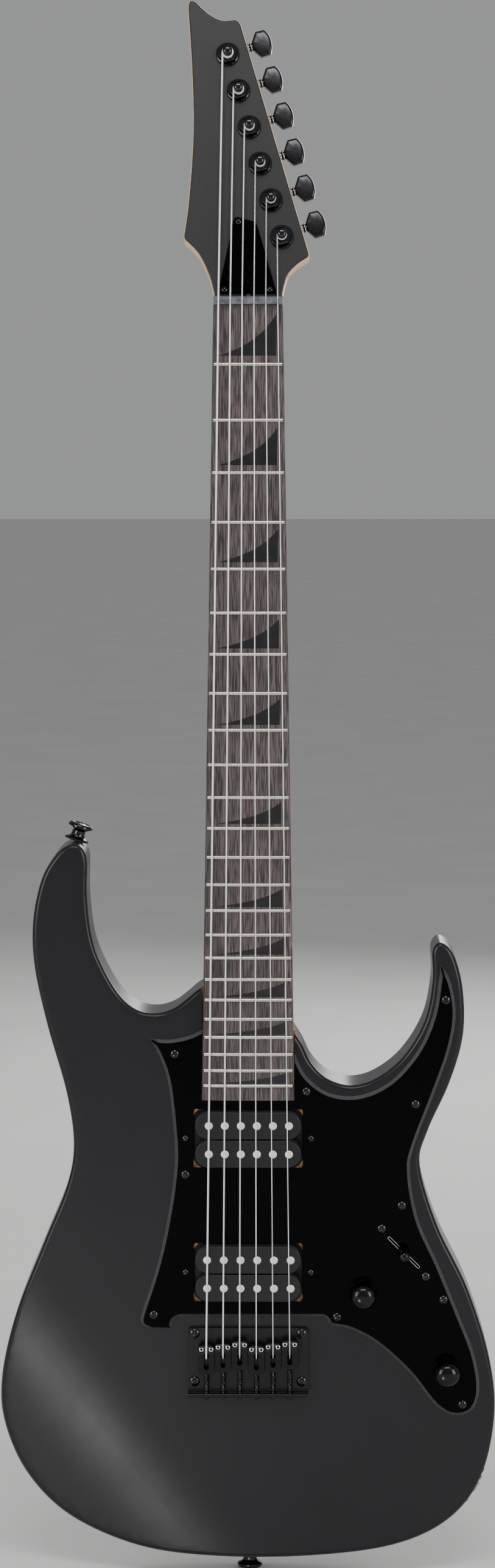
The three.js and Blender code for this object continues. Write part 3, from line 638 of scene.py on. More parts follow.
BLACK_METAL = plain_finish("satin_black_metal", (9, 9, 10), (14, 14, 15), 0.25, specular=0.36, scale=1300, bump=0.08)
KEY_BLACK = plain_finish("black_chrome_key", (58, 57, 60), (66, 65, 68), 0.23, metal=1.0, scale=60, bump=0.005)
# Steel coloured dark as painted shade, for the pickup base plates that sit in shade under the bobbins.
SHADED_BASE_STEEL = brushed("base_steel_with_painted_shade", (40, 40, 42), (62, 62, 64), 0.34, (0.2, 0.2, 1))
KNOB_BLACK = plain_finish("polished_black_knob", (3, 3, 4), (5, 5, 6), 0.17, specular=0.36, scale=60, bump=0.01)
CHROME = brushed("bright_chrome", (214, 214, 216), (236, 236, 238), 0.12, (1, 1, 1))
STEEL = brushed("plated_steel", (150, 150, 150), (186, 186, 186), 0.35, (0.2, 0.2, 1))
PLAIN_WIRE = brushed("plain_string_wire", (236, 238, 242), (250, 251, 253), 0.25, (1, 1, 0.02), 0.45)
WOUND_WIRE = brushed("wound_string_wire", (232, 232, 234), (250, 250, 250), 0.3, (0.05, 0.05, 3), 0.4)
FELT = plain_finish("black_felt", (16, 16, 17), (28, 28, 30), 0.95, scale=700, bump=0.8)


# ---- body ------------------------------------------------------------------------------------
BODY_OUTLINE = [
    (0, -432), (-22, -423.5), (-30.5, -426), (-38.5, -432.5), (-47, -438.6), (-58, -441.6), (-70, -439.2),
    (-81, -429.8), (-91, -413), (-98, -394), (-101, -368), (-101, -345), (-105, -336.2), (-112.5, -335.6),
    (-120.5, -342), (-129.5, -357.5), (-134.9, -384), (-134, -413), (-126, -450), (-114.3, -492),
    (-109.9, -525), (-114.5, -552), (-129, -588), (-147, -634), (-156.4, -676), (-154.4, -707),
    (-140, -739.5), (-113, -766), (-70, -783.8), (-20, -789.3), (40, -788.6), (92, -781.4), (126.5, -765),
    (147, -738), (155.6, -699), (152.5, -662), (138.5, -617), (119, -576), (108, -538), (112.8, -516),
    (126.5, -485), (134.8, -455), (134.3, -425), (128.3, -403.5), (120.5, -396.6), (115.3, -402.5),
    (115.4, -422), (110.5, -446.5), (97.5, -468.5), (81, -482.2), (65, -487), (50, -482.8), (39.5, -472.8),
    (32.5, -459), (22, -446),
]
CONTROL_CAVITY = [
    (58, -600), (72, -574), (92, -563), (104, -574), (120, -604.5), (128, -632), (138, -654), (138.8, -677),
    (128, -685), (112, -681), (98, -660), (84, -637), (58, -636),
]
SLAB_UP = Matrix(((1, 0, 0, 0), (0, 0, 1, 0), (0, 1, 0, 0), (0, 0, 0, 1)))  # a slab's y becomes height


def jack_frame():
    """Across the body's edge, along it, and out of it, from the underside of the jack plate."""
    across = Vector((0, 1, 0))
    edgeway = JACK_NORMAL.cross(across)
    turn = Matrix((across, edgeway, JACK_NORMAL)).transposed().to_4x4()
    return Matrix.Translation(JACK_CENTRE) @ turn


JACK = jack_frame()


def eased(t, soft):
    """t where it is well above 0 and 0 where it is well below, with a bend in between."""
    part = min(max((t / soft + 1) / 2, 0), 1)
    return 2 * soft * (part**3 - part**4 / 2) + max(t - soft, 0)


def front_face(x, z):
    """y of the front: flat, then falling away beyond the forearm crease."""
    beyond = (x - CREASE[0]) * CREASE_OUT[0] + (z - CREASE[1]) * CREASE_OUT[1]
    return FOREARM_SLOPE * eased(beyond, CREASE_SOFT)


def back_face(x, z):
    """y of the back: flat, then hollowed at the waist on the bass side."""
    reach = math.hypot(x - BELLY_CENTRE[0], z - BELLY_CENTRE[1])
    if reach >= BELLY_RADIUS:
        return BODY_THICK
    ball = BODY_THICK + BELLY_RADIUS - BELLY_DEPTH - math.sqrt(BELLY_RADIUS**2 - reach**2)
    return BODY_THICK - eased(BODY_THICK - ball, BELLY_SOFT)


def crease_seeds(pitch=6):
    """Points in rows along the crease, with close rows on either side of it."""
    rows = [-2.4, -0.8, 0.8, 2.4]
    rows += [s * (2.4 + pitch * k) for s in (-1, 1) for k in range(1, 90)]
    out = Vector(CREASE_OUT).normalized()
    run = Vector((-out.y, out.x))
    return np.array([
        Vector(CREASE) + out * row + run * (pitch * k) for row in rows for k in range(-70, 71)
    ])


def grid_seeds(pitch=6):
    return np.array([(x, z) for x in np.arange(-165, 165, pitch) for z in np.arange(-800, -330, pitch)])


def quarter_round(radius, steps=5):
    """(inset, depth) pairs round an edge, from the face to the side."""
    angles = [math.pi / 2 * k / steps for k in range(steps + 1)]
    return [(radius * (1 - math.sin(a)), radius * (1 - math.cos(a))) for a in angles]


def make_body():
    outline = closed_spline(BODY_OUTLINE)
    shell = Shell()
    rings = []
    for d, depth in quarter_round(BODY_EDGE):
        rings.append(shell.ring([(x, front_face(x, z) + depth, z) for x, z in inset(outline, d)]))
    for d, depth in reversed(quarter_round(BODY_EDGE)):
        rings.append(shell.ring([(x, back_face(x, z) - depth, z) for x, z in inset(outline, d)]))
    shell.skin(rings)
    shell.field(rings[0], front_face, crease_seeds())
    shell.field(rings[-1], back_face, grid_seeds())
    mesh = shell.mesh([PAINT, RAW_WOOD])
    for tools in body_tools():
        mesh = boolean(mesh, tools.mesh([PAINT, RAW_WOOD]))
    return mesh


def body_tools():
    """What is cut from the body, in sets whose shapes don't meet each other."""
    raw = [1] * 5
    half = neck_half(HEEL_END) + GAP
    foot = HEEL_END - GAP
    pocket = [(-half, foot), (half, foot), (half, POCKET_TOP), (-half, POCKET_TOP)]
    cavities = Shell().slab(pocket, [(0, -1), (0, POCKET_DEPTH)], paints=raw)
    cavities.slab(fillet(CONTROL_CAVITY, 5), [(0, -1), (0, CONTROL_DEPTH)], paints=raw)
    ledges, ears = Shell(), Shell()
    for z in PICKUP_Z:
        cavities.slab(rounded(69.8, 39, 8.5, 0, z), [(0, -1), (0, PICKUP_DEPTH)], paints=raw)
        ledge = [(0, -1.5), (0, PICKUP_LEDGE_DEPTH)]
        ledges.slab(rounded(71.6, 40.6, 2.5, 0, z), ledge, paints=raw)
        ears.slab(rounded(90, 14, 5, 0, z), [(0, -0.7), (0, PICKUP_EAR_DEPTH)], paints=raw)
    bore = [(0, -2), (STRING_BORE, -2), (STRING_BORE, FERRULE_START), (FERRULE_BORE, FERRULE_START),
            (FERRULE_BORE, BODY_THICK + 2), (0, BODY_THICK + 2)]
    for i in range(STRINGS):
        cavities.turned(bore, turned_to((string_x(i, PITCH_BRIDGE), 0, STRING_HOLE_Z), BACK), 24, raw)
    ledges.slab(rounded(25, 29, 4.5), [(0, -GAP), (0, 20)], matrix=JACK @ SLAB_UP)
    ears.turned([(0, -60), (JACK_BORE, -60), (JACK_BORE, 12), (0, 12)], JACK, 32, raw)
    return cavities, ledges, ears


show("body_shell", make_body(), [PAINT, RAW_WOOD], stands_for=["body"], sharp=24)


# ---- screws ----------------------------------------------------------------------------------
def phillips(radius, rise, shank=0.0, reach=0.0):
    """A domed cross-head screw standing on the origin along +Z."""
    dome = [(radius * math.sin(a), rise * math.cos(a)) for a in np.linspace(0, math.radians(84), 9)]
    foot = [(radius, -0.2), (radius * 0.9, -0.35)]
    stem = [(shank, -0.35), (shank, -reach), (0, -reach)] if shank else [(0, -0.35)]
    head = Shell().turned([(0, rise), *dome[1:], *foot, *stem], sides=32).mesh()
    arm, tip = radius * 0.14, radius * 0.62
    cross = [
        (arm, arm), (tip, arm), (tip, -arm), (arm, -arm), (arm, -tip), (-arm, -tip),
        (-arm, -arm), (-tip, -arm), (-tip, arm), (-arm, arm), (-arm, tip), (arm, tip),
    ]
    layers = [(0, -rise - 1), (0, -rise * 0.8), (arm * 0.45, -rise * 0.15)]
    tool = Shell().slab(cross, layers, matrix=Matrix.Rotation(-math.pi / 2, 4, "X")).mesh()
    return boolean(head, tool)


def turns(count):
    """How far each screw of a set happens to be turned."""
    return [math.radians((37 * k + 11) % 90) for k in range(count)]


def screws(name, places, radius, rise):
    """A set of cross-head screws, each at a matrix whose +Z points out of the surface."""
    head = phillips(radius, rise)
    spun = [
        place @ Matrix.Rotation(turn, 4, "Z") for place, turn in zip(places, turns(len(places)))
    ]
    show(name, Shell().copies(head, spun).mesh(), [BLACK_CHROME])


def on_front(points, y):
    return [turned_to((x, y, z), FRONT) for x, z in points]


# ---- neck ------------------------------------------------------------------------------------
def neck_ring(z):
    """The neck's back at one height: round along the shaft, square at the heel and the headstock."""
    heel = smoothstep(-404, -430, z)
    head = smoothstep(-24, 3, z)
    depth = (NECK_DEPTH - 0.0052 * z) * (1 - heel) + HEEL_DEPTH * heel
    power = 2 / (2.25 + 8 * heel + 8 * head)
    points = []
    for k in range(33):
        angle = math.pi * k / 32
        across = math.copysign(abs(math.cos(angle)) ** power, math.cos(angle))
        points.append((neck_half(z) * across, NECK_TOP + depth * math.sin(angle) ** power, z))
    return points


def head_outline():
    path = Path(21.3, -8).line(21.3, 1).spline([(24.4, 12.4), (30.5, 19.4), (36.4, 23.4)])
    path.quad(38.2, 24.6, 37.4, 27.4).line(-4.6, 171.4).quad(-6.2, 176.4, -10, 175.7)
    path.spline([(-17, 175.4), (-25, 179.6), (-32.6, 186.8)]).quad(-38.2, 191, -38, 182)
    path.spline([(-35.6, 145), (-34.5, 105), (-37, 62), (-40, 38)]).quad(-40.4, 35.4, -38, 33.8)
    return path.spline([(-30.6, 25.6), (-24.4, 12.4), (-21.3, 1)]).line(-21.3, -8).points


def tuner_frame(i):
    """At the foot of a post on the headstock's face: x out to its key, y back, z up the row."""
    x = TUNER_FIRST[0] + i * TUNER_PITCH * math.sin(TUNER_LINE)
    s = TUNER_FIRST[1] - i * TUNER_PITCH * math.cos(TUNER_LINE)
    return HEAD @ Matrix.Translation((x, 0, s)) @ Matrix.Rotation(-TUNER_LINE, 4, "Y")


def block(x0, y0, z0, x1, y1, z1):
    shell = Shell()
    return shell.slab([(x0, z0), (x1, z0), (x1, z1), (x0, z1)], [(0, y0), (0, y1)])


def make_neck():
    front = quarter_round(1.4, 4)
    back = [(d, HEAD_THICK - depth) for d, depth in reversed(quarter_round(2.2, 5))]
    paints = [1] * 3 + [0] * 10
    head = Shell().slab(head_outline(), front + back, matrix=HEAD, paints=paints).mesh([MAPLE, HEAD_PAINT])
    head = boolean(head, block(-60, -40, -40, 60, 60, 5.5).mesh([MAPLE, HEAD_PAINT]))
    shaft = Shell()
    stations = sorted({HEEL_END, *range(-486, -436, 10), *range(-436, -396, 3), *range(-396, -24, 12)} |
                      {*range(-24, 6, 3), 6.4})
    shaft.loft([shaft.ring(neck_ring(z)) for z in stations])
    neck = boolean(shaft.mesh([MAPLE, HEAD_PAINT]), head, "UNION")
    tools = block(-2.9, -3.5, -470, 2.9, 8.4, 44)
    for i in range(STRINGS):
        bore = [(0, -2), (5.1, -2), (5.1, HEAD_THICK + 2), (0, HEAD_THICK + 2)]
        tools.turned(bore, tuner_frame(i) @ TO_BACK, 24)
    return boolean(neck, tools.mesh([MAPLE, HEAD_PAINT]))


def make_fretboard():
    shell = Shell()
    rings = []
    for z in np.linspace(FRETBOARD_END, 0, 26):
        half = neck_half(z)
        edge = 0.5
        points = [(-half, FRETBOARD_BOTTOM, z), (-half, board_top(half) + edge, z)]
        for k in range(-10, 11):
            x = (half - edge * 0.6) * k / 10
            points.append((x, board_top(x), z))
        points += [(half, board_top(half) + edge, z), (half, FRETBOARD_BOTTOM, z)]
        rings.append(shell.ring(points))
    return shell.loft(rings).mesh()


def make_frets():
    """Crowned wires across the board, their ends sloped inwards."""
    shell = Shell()
    for n in range(1, FRETS + 1):
        reach = neck_half(fret_z(n)) - 0.35
        rings = []
        for k in range(-10, 11):
            ring = []
            for a in np.linspace(0, math.pi, 9):
                lift = FRET_HEIGHT * math.sin(a)
                x = (reach - 0.75 * lift) * k / 10
                ring.append((x, board_top(x) - lift, fret_z(n) + FRET_WIDTH / 2 * math.cos(a)))
            x = reach * k / 10
            ring += [(x, board_top(x) + 0.6, fret_z(n) + s * FRET_WIDTH / 2) for s in (-1, 1)]
            rings.append(shell.ring(ring))
        shell.loft(rings)
    return shell.mesh()


def make_inlays():
    """Dark wedges let into the board, each a share of the space behind its fret."""
    shell = Shell()
    proud, sunk, share = 0.05, 0.7, 0.71
    for n in INLAID_FRETS:
        top, bottom = fret_z(n - 1), fret_z(n)
        tall = (top - bottom) * share
        foot = (top + bottom - tall) / 2
        left, right = -17.8 - 0.2 * n, 17.1 + 0.29 * n
        wide = right - left
        path = Path(left, foot)
        path.quad(left + wide * 0.72, foot + tall * 0.3, right, foot + tall, 16)
        outline = [*path.points, *[(right - wide * k / 12, foot) for k in range(12)]]
        rings = [shell.ring([(x, board_top(x) + y, z) for x, z in outline]) for y in (-proud, sunk)]
        shell.skin(rings)
        seeds = np.array([
            (x, z) for x in np.arange(left, right, 2.5) for z in np.arange(foot, foot + tall, 2.5)
        ])
        shell.field(rings[0], lambda x, z: board_top(x) - proud, seeds)
        shell.field(rings[1], lambda x, z: board_top(x) + sunk, seeds)
    return shell.mesh()


def make_side_dots():
    shell = Shell()
    for n in INLAID_FRETS[1:]:
        z = (fret_z(n) + fret_z(n - 1)) / 2
        for offset in ((-4, 4) if n in (12, 24) else (0,)):
            dot = [(0, 0.12), (0.7, 0.1), (1.0, 0.02), (1.0, -0.5), (0, -0.5)]
            shell.turned(dot, turned_to((-neck_half(z + offset), -5.2, z + offset), (-1, 0, 0)), 16)
    return shell.mesh()


def make_nut():
    half = NUT_WIDTH / 2 - 0.2
    section = fillet([(GAP, FRETBOARD_BOTTOM), (NUT_LENGTH, FRETBOARD_BOTTOM), (NUT_LENGTH, -10.3), (4.2, -11.4),
                      (GAP + 0.4, -11.6), (GAP, -11.2)], 0.4)
    shell = Shell()
    shell.loft([shell.ring([(x, y, z) for z, y in section]) for x in (-half, half)])
    tools = Shell()
    for i, radius in enumerate(STRING_RADII):
        x = string_x(i, PITCH_NUT)
        wide = radius + 0.12
        floor = STRING_Y_NUT + radius
        groove = [(x - wide, -20), (x + wide, -20), *[
            (x + wide * math.cos(a), floor - radius + wide * math.sin(a)) for a in np.linspace(0, math.pi, 9)
        ]]
        tools.loft([tools.ring([(gx, gy, z) for gx, gy in groove]) for z in (-1, NUT_LENGTH + 1)])
    return boolean(shell.mesh(), tools.mesh())


def cover_outline():
    path = Path(-17.4, 1).line(17.4, 1).line(17.2, 3).line(5.6, 43.6).quad(4.6, 46.4, 1.8, 47)
    return path.line(-6.6, 49.4).quad(-8.6, 49.6, -9.2, 47).line(-17.4, 7).points


COVER_LAYERS = [(0.5, -2.1), (0.15, -2.0), (0, -1.7), (0, -GAP)]
COVER_SCREWS = [(-6.1, 46.3), (-14.6, 3.2), (13.4, 3.3)]
PLATE_OUTLINE = [(-23, -437), (1, -441), (25, -458), (25, -489), (22, -492), (-22, -492), (-25, -489), (-25, -439)]
PLATE_LAYERS = [(0, 45.3), (0, 46.6), (0.15, 46.95), (0.5, 47.1)]
PLATE_SCREWS = [(-18.5, -444.5), (9, -454.5), (-18.5, -485.5), (18.5, -485.5)]

show("neck_timber", make_neck(), [MAPLE, HEAD_PAINT], stands_for=["neck"])
show("fretboard_blank", make_fretboard(), [ROSEWOOD], stands_for=["fretboard"])
show("frets", make_frets(), [FRET_METAL])
show("inlays", make_inlays(), [INLAY], sharp=50)
show("side_dots", make_side_dots(), [NUT_PLASTIC])
show("nut_block", make_nut(), [NUT_PLASTIC], stands_for=["nut"])
cover = Shell().slab(cover_outline(), COVER_LAYERS, matrix=HEAD).mesh()
show("truss_cover", cover, [GLOSS_BLACK_AND_SOCKET_SHADE], stands_for=["truss_rod_cover"])
cover_places = [HEAD @ turned_to((x, -2.1, s), FRONT) for x, s in COVER_SCREWS]
screws("truss_cover_screws", cover_places, 1.9, 0.9)
plate = Shell().slab(fillet(PLATE_OUTLINE, 2), PLATE_LAYERS).mesh()
show("joint_plate", plate, [BLACK_METAL], stands_for=["neck_plate"])
plate_places = [turned_to((x, 47.1, z), BACK) for x, z in PLATE_SCREWS]
screws("joint_plate_screws", plate_places, 4.2, 1.9)


# ---- pickguard -------------------------------------------------------------------------------
def guard_outline():
    path = Path(-24, -449).spline([(-36.5, -455.2), (-49.5, -457.9), (-62, -457.1)])
    path.spline([(-55.2, -469.8), (-50.2, -486), (-46.9, -515), (-46.2, -537), (-50, -567), (-57, -600),
                 (-67.4, -632.6)])
    path.quad(-70, -641.6, -61, -641.9).line(-49.4, -642).quad(-48, -642, -47.9, -639.6)
    path.quad(-47.5, -634.2, -41, -634.2).line(45, -634).quad(49.6, -634, 50.6, -637.6)
    path.quad(51.2, -639.6, 54.6, -640)
    path.spline([(66, -642.6), (82.6, -652.2), (101.8, -670), (118, -690.4), (130, -697), (141.4, -693.6),
                 (146, -680), (142.6, -658), (132.9, -632.6), (120.2, -601.5), (107, -571.5), (101.7, -541),
                 (104.8, -523.6), (116.3, -493.1), (126.4, -464), (130, -441), (126.6, -420.6),
                 (120.4, -409.6)])
    path.spline([(119.3, -421), (115.6, -443), (106, -465), (89.3, -484), (70, -493), (51, -491.6),
                 (36.6, -481), (29.4, -467)])
    return path.line(22, -455).points


def switch_frame():
    """Along the selector's slot, out of the face, and across the slot."""
    return Matrix.Translation((SWITCH_PLACE[0], 0, SWITCH_PLACE[1])) @ Matrix.Rotation(math.pi / 4, 4, "Y")


GUARD_SCREWS = [
    (-46.1, -466.8), (123.8, -432.4), (36.4, -490.4), (105.1, -498.3), (-39.5, -543.3), (96.6, -562.7),
    (123.0, -622.6), (135.2, -689.7), (-59.5, -632.8), (56.0, -633.8),
]
HEIGHT_SCREWS = [(s * 39.4, z) for z in PICKUP_Z for s in (-1, 1)]
SWITCH_SCREWS = [(84.0, -577.4), (111.8, -607.9)]


def make_guard():
    layers = [(2.0, GUARD_FRONT), (0.25, GUARD_FRONT + 1.75), (0, GUARD_FRONT + 1.95), (0, -GAP)]
    mesh = Shell().slab(guard_outline(), layers, paints=[0, 1, 1, 1, 0]).mesh([GLOSS_BLACK_AND_SOCKET_SHADE, GUARD_EDGE])
    tools = Shell()
    half = neck_half(FRETBOARD_END) + 0.4
    top = neck_half(POCKET_TOP) + 0.4
    through = [(0, -6), (0, 3)]
    tools.slab([(-half, FRETBOARD_END - 0.4), (half, FRETBOARD_END - 0.4), (top, POCKET_TOP), (-top, POCKET_TOP)],
               through)
    for z in PICKUP_Z:
        tools.slab(rounded(68.6, 37.4, 1.5, 0, z), through)
    for x, z in KNOBS.values():
        tools.slab(circle(5, x, z), through)
    tools.slab(rounded(28, 2, 0.9), through, matrix=switch_frame())
    return boolean(mesh, tools.mesh([GLOSS_BLACK_AND_SOCKET_SHADE, GUARD_EDGE]))


show("guard_plate", make_guard(), [GLOSS_BLACK_AND_SOCKET_SHADE, GUARD_EDGE], stands_for=["pickguard"])
screws("guard_screws", on_front(GUARD_SCREWS, GUARD_FRONT), 2.85, 1.3)
screws("height_screws", on_front(HEIGHT_SCREWS, GUARD_FRONT), 2.05, 1.0)
screws("switch_screws", on_front(SWITCH_SCREWS, GUARD_FRONT), 2.85, 1.3)


# ---- pickups ---------------------------------------------------------------------------------
BOBBIN_LAYERS = [
    (0.7, 0), (0.3, 0.1), (0.06, 0.32), (0, 0.6), (0, 1.5), (0.15, 1.7), (1.5, 1.8), (1.5, 9.2), (0.1, 9.3),
    (0, 9.5), (0, 11),
]
POLE_PITCH = {"neck": 10.05, "bridge": 10.5}
POLE_PROFILE = [(0, 0.62), (1.3, 0.6), (1.95, 0.52), (2.3, 0.34), (2.5, 0.1), (2.5, -8), (0, -8)]

for name, centre in zip(("neck", "bridge"), PICKUP_Z):
    rider = f"{name}_pickup"
    poles = Shell()
    for number, z in enumerate((centre + BOBBIN_PITCH / 2, centre - BOBBIN_PITCH / 2), 1):
        outline = rounded(*BOBBIN, BOBBIN[1] / 2 - 0.3, 0, z, 16)
        layers = [(d, BOBBIN_TOP + y) for d, y in BOBBIN_LAYERS]
        paints = [0] * 6 + [1] * 3 + [0] * 4
        bobbin = Shell().slab(outline, layers, paints=paints).mesh()
        show(f"{name}_bobbin_{number}", bobbin, [BOBBIN_PLASTIC, COIL_TAPE], rider,
             [f"{name}_pickup_bobbin_{number}"])
        for i in range(STRINGS):
            place = turned_to((0.5 + string_x(i, POLE_PITCH[name]), BOBBIN_TOP, z), FRONT)
            poles.turned(POLE_PROFILE, place, 32)
    show(f"{name}_poles", poles.mesh(), [POLE], rider)


# ---- controls --------------------------------------------------------------------------------
KNOB_PROFILE = [
    (0, 18.2), (1.6, 18.15), (3.2, 17.95), (4.7, 17.5), (6.0, 16.8), (7.0, 15.8), (7.6, 14.6), (7.85, 13.2),
    (7.95, 11.5), (8.05, 4.6), (8.15, 3.6), (8.4, 2.9), (8.7, 2.5), (8.85, 2.0), (8.85, 0.3), (8.7, 0), (6, 0),
    (6, 4.4), (3.4, 5), (3.4, 13.2), (0, 13.2),
]
for name, (x, z) in KNOBS.items():
    knob = Shell().turned(KNOB_PROFILE, turned_to((x, GUARD_FRONT - GAP, z), FRONT), 72).mesh()
    show(f"{name}_cap", knob, [KNOB_BLACK], f"{name}_control", [f"{name}_knob"])

TIP_PROFILE = [
    (0, 19.6), (1.2, 19.5), (2.2, 19.1), (3.0, 18.4), (3.4, 17.4), (3.4, 16), (3.15, 13.5), (3.4, 10.6), (3.9, 8.6),
    (4.0, 7.8), (3.8, 7.2), (0.4, 7.2), (0.4, 12), (0, 12),
]
tip = Shell().turned(TIP_PROFILE, switch_frame() @ TO_FRONT, 40).mesh()
show("selector_tip", tip, [KNOB_BLACK], "selector", ["switch_tip"])
trim = Shell().slab(rounded(27.9, 1.94, 0.95), [(0.05, GUARD_FRONT - 0.12), (0, GUARD_FRONT), (0, GUARD_FRONT + 2)],
                    [rounded(27.3, 1.34, 0.65)], switch_frame())
show("selector_slot_trim", trim.mesh(), [CHROME])


# ---- output jack -----------------------------------------------------------------------------
PLATE_SIZE = (24, 28)
jack_layers = [(0, 0), (0, 1.5), (0.15, 1.85), (0.5, 2.0)]
jack_face = Shell().slab(rounded(*PLATE_SIZE, 4), jack_layers, [circle(6)], JACK @ SLAB_UP)
show("jack_face", jack_face.mesh(), [BLACK_METAL], stands_for=["jack_plate"])
jack_places = [JACK @ Matrix.Translation((a * 8.6, b * 10.6, 2)) for a in (-1, 1) for b in (-1, 1)]
screws("jack_screws", jack_places, 1.9, 0.9)
JACK_PROFILE = [
    (0, -26), (8.2, -26), (8.6, -25.6), (8.6, -0.3), (5.7, -0.3), (5.7, 2.05), (7.2, 2.05), (7.2, 2.6),
    (6.6, 2.7), (6.6, 4.3), (6.3, 4.6), (5.2, 4.6), (4.9, 4.3), (4.6, -3), (3.3, -4.2), (3.3, -24), (0, -24),
]
show("jack_barrel", Shell().turned(JACK_PROFILE, JACK, 48).mesh(), [STEEL],
     stands_for=["output_jack"])


# ---- bridge ----------------------------------------------------------------------------------
def prism_x(section, x0, x1):
    """A (z, y) section pushed along X."""
    shell = Shell()
    return shell.loft([shell.ring([(x, y, z) for z, y in section]) for x in (x0, x1)]).mesh()


def make_bridge():
    """A plate bent up at its rear into a flange that the length screws pass through."""
    thick = FLANGE_Z - BRIDGE_REAR_Z
    roll = [(FLANGE_Z - thick * (1 + math.cos(a)) / 2, FLANGE_Y + 0.9 * (1 - math.sin(a)))
            for a in np.linspace(0, math.pi, 11)]
    section = [(BRIDGE_TOP_Z, -GAP), (BRIDGE_REAR_Z + 2, -GAP), (BRIDGE_REAR_Z + 0.6, -GAP - 0.6),
               (BRIDGE_REAR_Z, -GAP - 2), *roll, (FLANGE_Z, BRIDGE_FRONT - 1.6),
               (FLANGE_Z + 0.5, BRIDGE_FRONT - 0.5), (FLANGE_Z + 1.6, BRIDGE_FRONT),
               (BRIDGE_TOP_Z, BRIDGE_FRONT)]
    half = BRIDGE_WIDTH / 2
    plate = prism_x(section, -half, half)
    middle = (BRIDGE_TOP_Z + BRIDGE_REAR_Z) / 2
    corners = rounded(BRIDGE_WIDTH, BRIDGE_TOP_Z - BRIDGE_REAR_Z, 3, 0, middle)
    plate = boolean(plate, Shell().slab(corners, [(0, -20), (0, 5)]).mesh(), "INTERSECT")
    tools = Shell()
    for i in range(STRINGS):
        tools.slab(circle(1.6, string_x(i, PITCH_BRIDGE), STRING_HOLE_Z, 20), [(0, -9), (0, 2)])
    return boolean(plate, tools.mesh())


def make_saddle(i):
    x = string_x(i, PITCH_BRIDGE)
    front = SADDLE_FRONT_Z[i]
    rear = front - SADDLE_LENGTH
    top = STRING_Y_SADDLE + STRING_RADII[i] + 0.06
    half = SADDLE_WIDTH / 2
    plan = Path(x + half, rear).line(x + half, front - 2.4).quad(x + half, front, x + half - 2.4, front)
    plan = plan.line(x - half + 2.4, front).quad(x - half, front, x - half, front - 2.4).line(x - half, rear)
    mesh = Shell().slab(fillet(plan.points, 0.35, 2), [(0, -30), (0, -3.6)]).mesh()
    side = fillet([(front + 1, -5.2), (front - 6, -5.2), (front - 8, -3), (rear - 1, -3), (rear - 1, top + 4.2),
                   (rear, top + 4), (front - 4.6, top), (front - 1.2, top), (front + 1, top + 1.8)], 0.5)
    mesh = boolean(mesh, prism_x(side, x - half - 1, x + half + 1), "INTERSECT")
    slot = Shell().slab(rounded(3.2, 12, 1.55, x, front - 9.8), [(0, -30), (0, 0)])
    sockets, bores = Shell(), Shell()
    for s in (-1, 1):
        sockets.slab(circle(1.7, x + s * SADDLE_SCREW_OFFSET, front - 2.1, 24), [(0, -30), (0, 0)])
    groove = [(0, 2), (STRING_RADII[i] + 0.05, 2), (STRING_RADII[i] + 0.05, -6), (0, -6)]
    bores.turned(groove, Matrix.Translation((x, STRING_Y_SADDLE, front)), 16)
    bore = [(0, -2), (1.35, -2), (1.35, 5), (0, 5)]
    bores.turned(bore, Matrix.Translation((x, LENGTH_SCREW_Y, rear)), 20)
    for tools in (slot, sockets, bores):
        mesh = boolean(mesh, tools.mesh())
    return mesh


def grub_screw():
    """A hex-socket height screw with its mouth at the origin, along +Z. Its socket walls are painted near-black:
    painted shade in the recess.
    """
    ring = [(0, 0), (1.05, 0), (1.38, -0.18), (1.5, -0.5), (1.5, -10), (0, -10)]
    body = Shell().turned(ring, sides=32).mesh([CHROME, GLOSS_BLACK_AND_SOCKET_SHADE])
    # The socket's walls take the gloss black: painted shade inside the hex socket of a chrome screw.
    socket = Shell().turned([(0, 1), (0.8, 1), (0.8, -1.3), (0, -1.6)], sides=6, paints=[1] * 3)
    return boolean(body, socket.mesh([CHROME, GLOSS_BLACK_AND_SOCKET_SHADE]))


def coil(centre, radius, z0, z1, pitch, wire):
    """A spring's wire, wound about a line along Z."""
    turned_through = 2 * math.pi * (z1 - z0) / pitch
    steps = int(16 * (z1 - z0) / pitch)
    return [
        (
            centre[0] + radius * math.cos(turned_through * k / steps),
            centre[1] + radius * math.sin(turned_through * k / steps),
            z0 + wire + (z1 - z0 - 2 * wire) * k / steps,
        )
        for k in range(steps + 1)
    ]


show("bridge_base", make_bridge(), [BLACK_METAL], stands_for=["bridge_plate"], bevel=0.35)
BRIDGE_SCREWS = [(s * 33.8, z) for s in (-1, 1) for z in (-644.5, -675.1)]
screws("bridge_screws", on_front(BRIDGE_SCREWS, BRIDGE_FRONT), 3.3, 1.5)
GRUB = grub_screw()
LENGTH_SCREW = phillips(1.95, 1.7, 1.0, 16)
for i, front in enumerate(SADDLE_FRONT_Z):
    x = string_x(i, PITCH_BRIDGE)
    rider = f"saddle_block_{i + 1}"
    show(f"saddle_piece_{i + 1}", make_saddle(i), [BLACK_METAL], rider,
         [f"saddle_{i + 1}"], bevel=0.22)
    top = STRING_Y_SADDLE + STRING_RADII[i]
    pair = [turned_to((x + s * SADDLE_SCREW_OFFSET, top, front - 2.1), FRONT) for s in (-1, 1)]
    grubs = Shell().copies(GRUB, pair).mesh([CHROME, GLOSS_BLACK_AND_SOCKET_SHADE])
    show(f"saddle_grubs_{i + 1}", grubs, [CHROME, GLOSS_BLACK_AND_SOCKET_SHADE], rider)
    rear = front - SADDLE_LENGTH
    spring = Shell().tube(coil((x, LENGTH_SCREW_Y), 1.38, FLANGE_Z, rear, 1.35, 0.33), 0.33, 8).mesh()
    spring = show(f"saddle_spring_{i + 1}", spring, [BLACK_CHROME], None)
    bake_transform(spring)
screw_places = [
    turned_to((string_x(i, PITCH_BRIDGE), LENGTH_SCREW_Y, BRIDGE_REAR_Z), (0, 0, -1))
    @ Matrix.Rotation(turn, 4, "Z")
    for i, turn in enumerate(turns(STRINGS))
]
show("length_screws", Shell().copies(LENGTH_SCREW, screw_places).mesh(), [BLACK_CHROME])

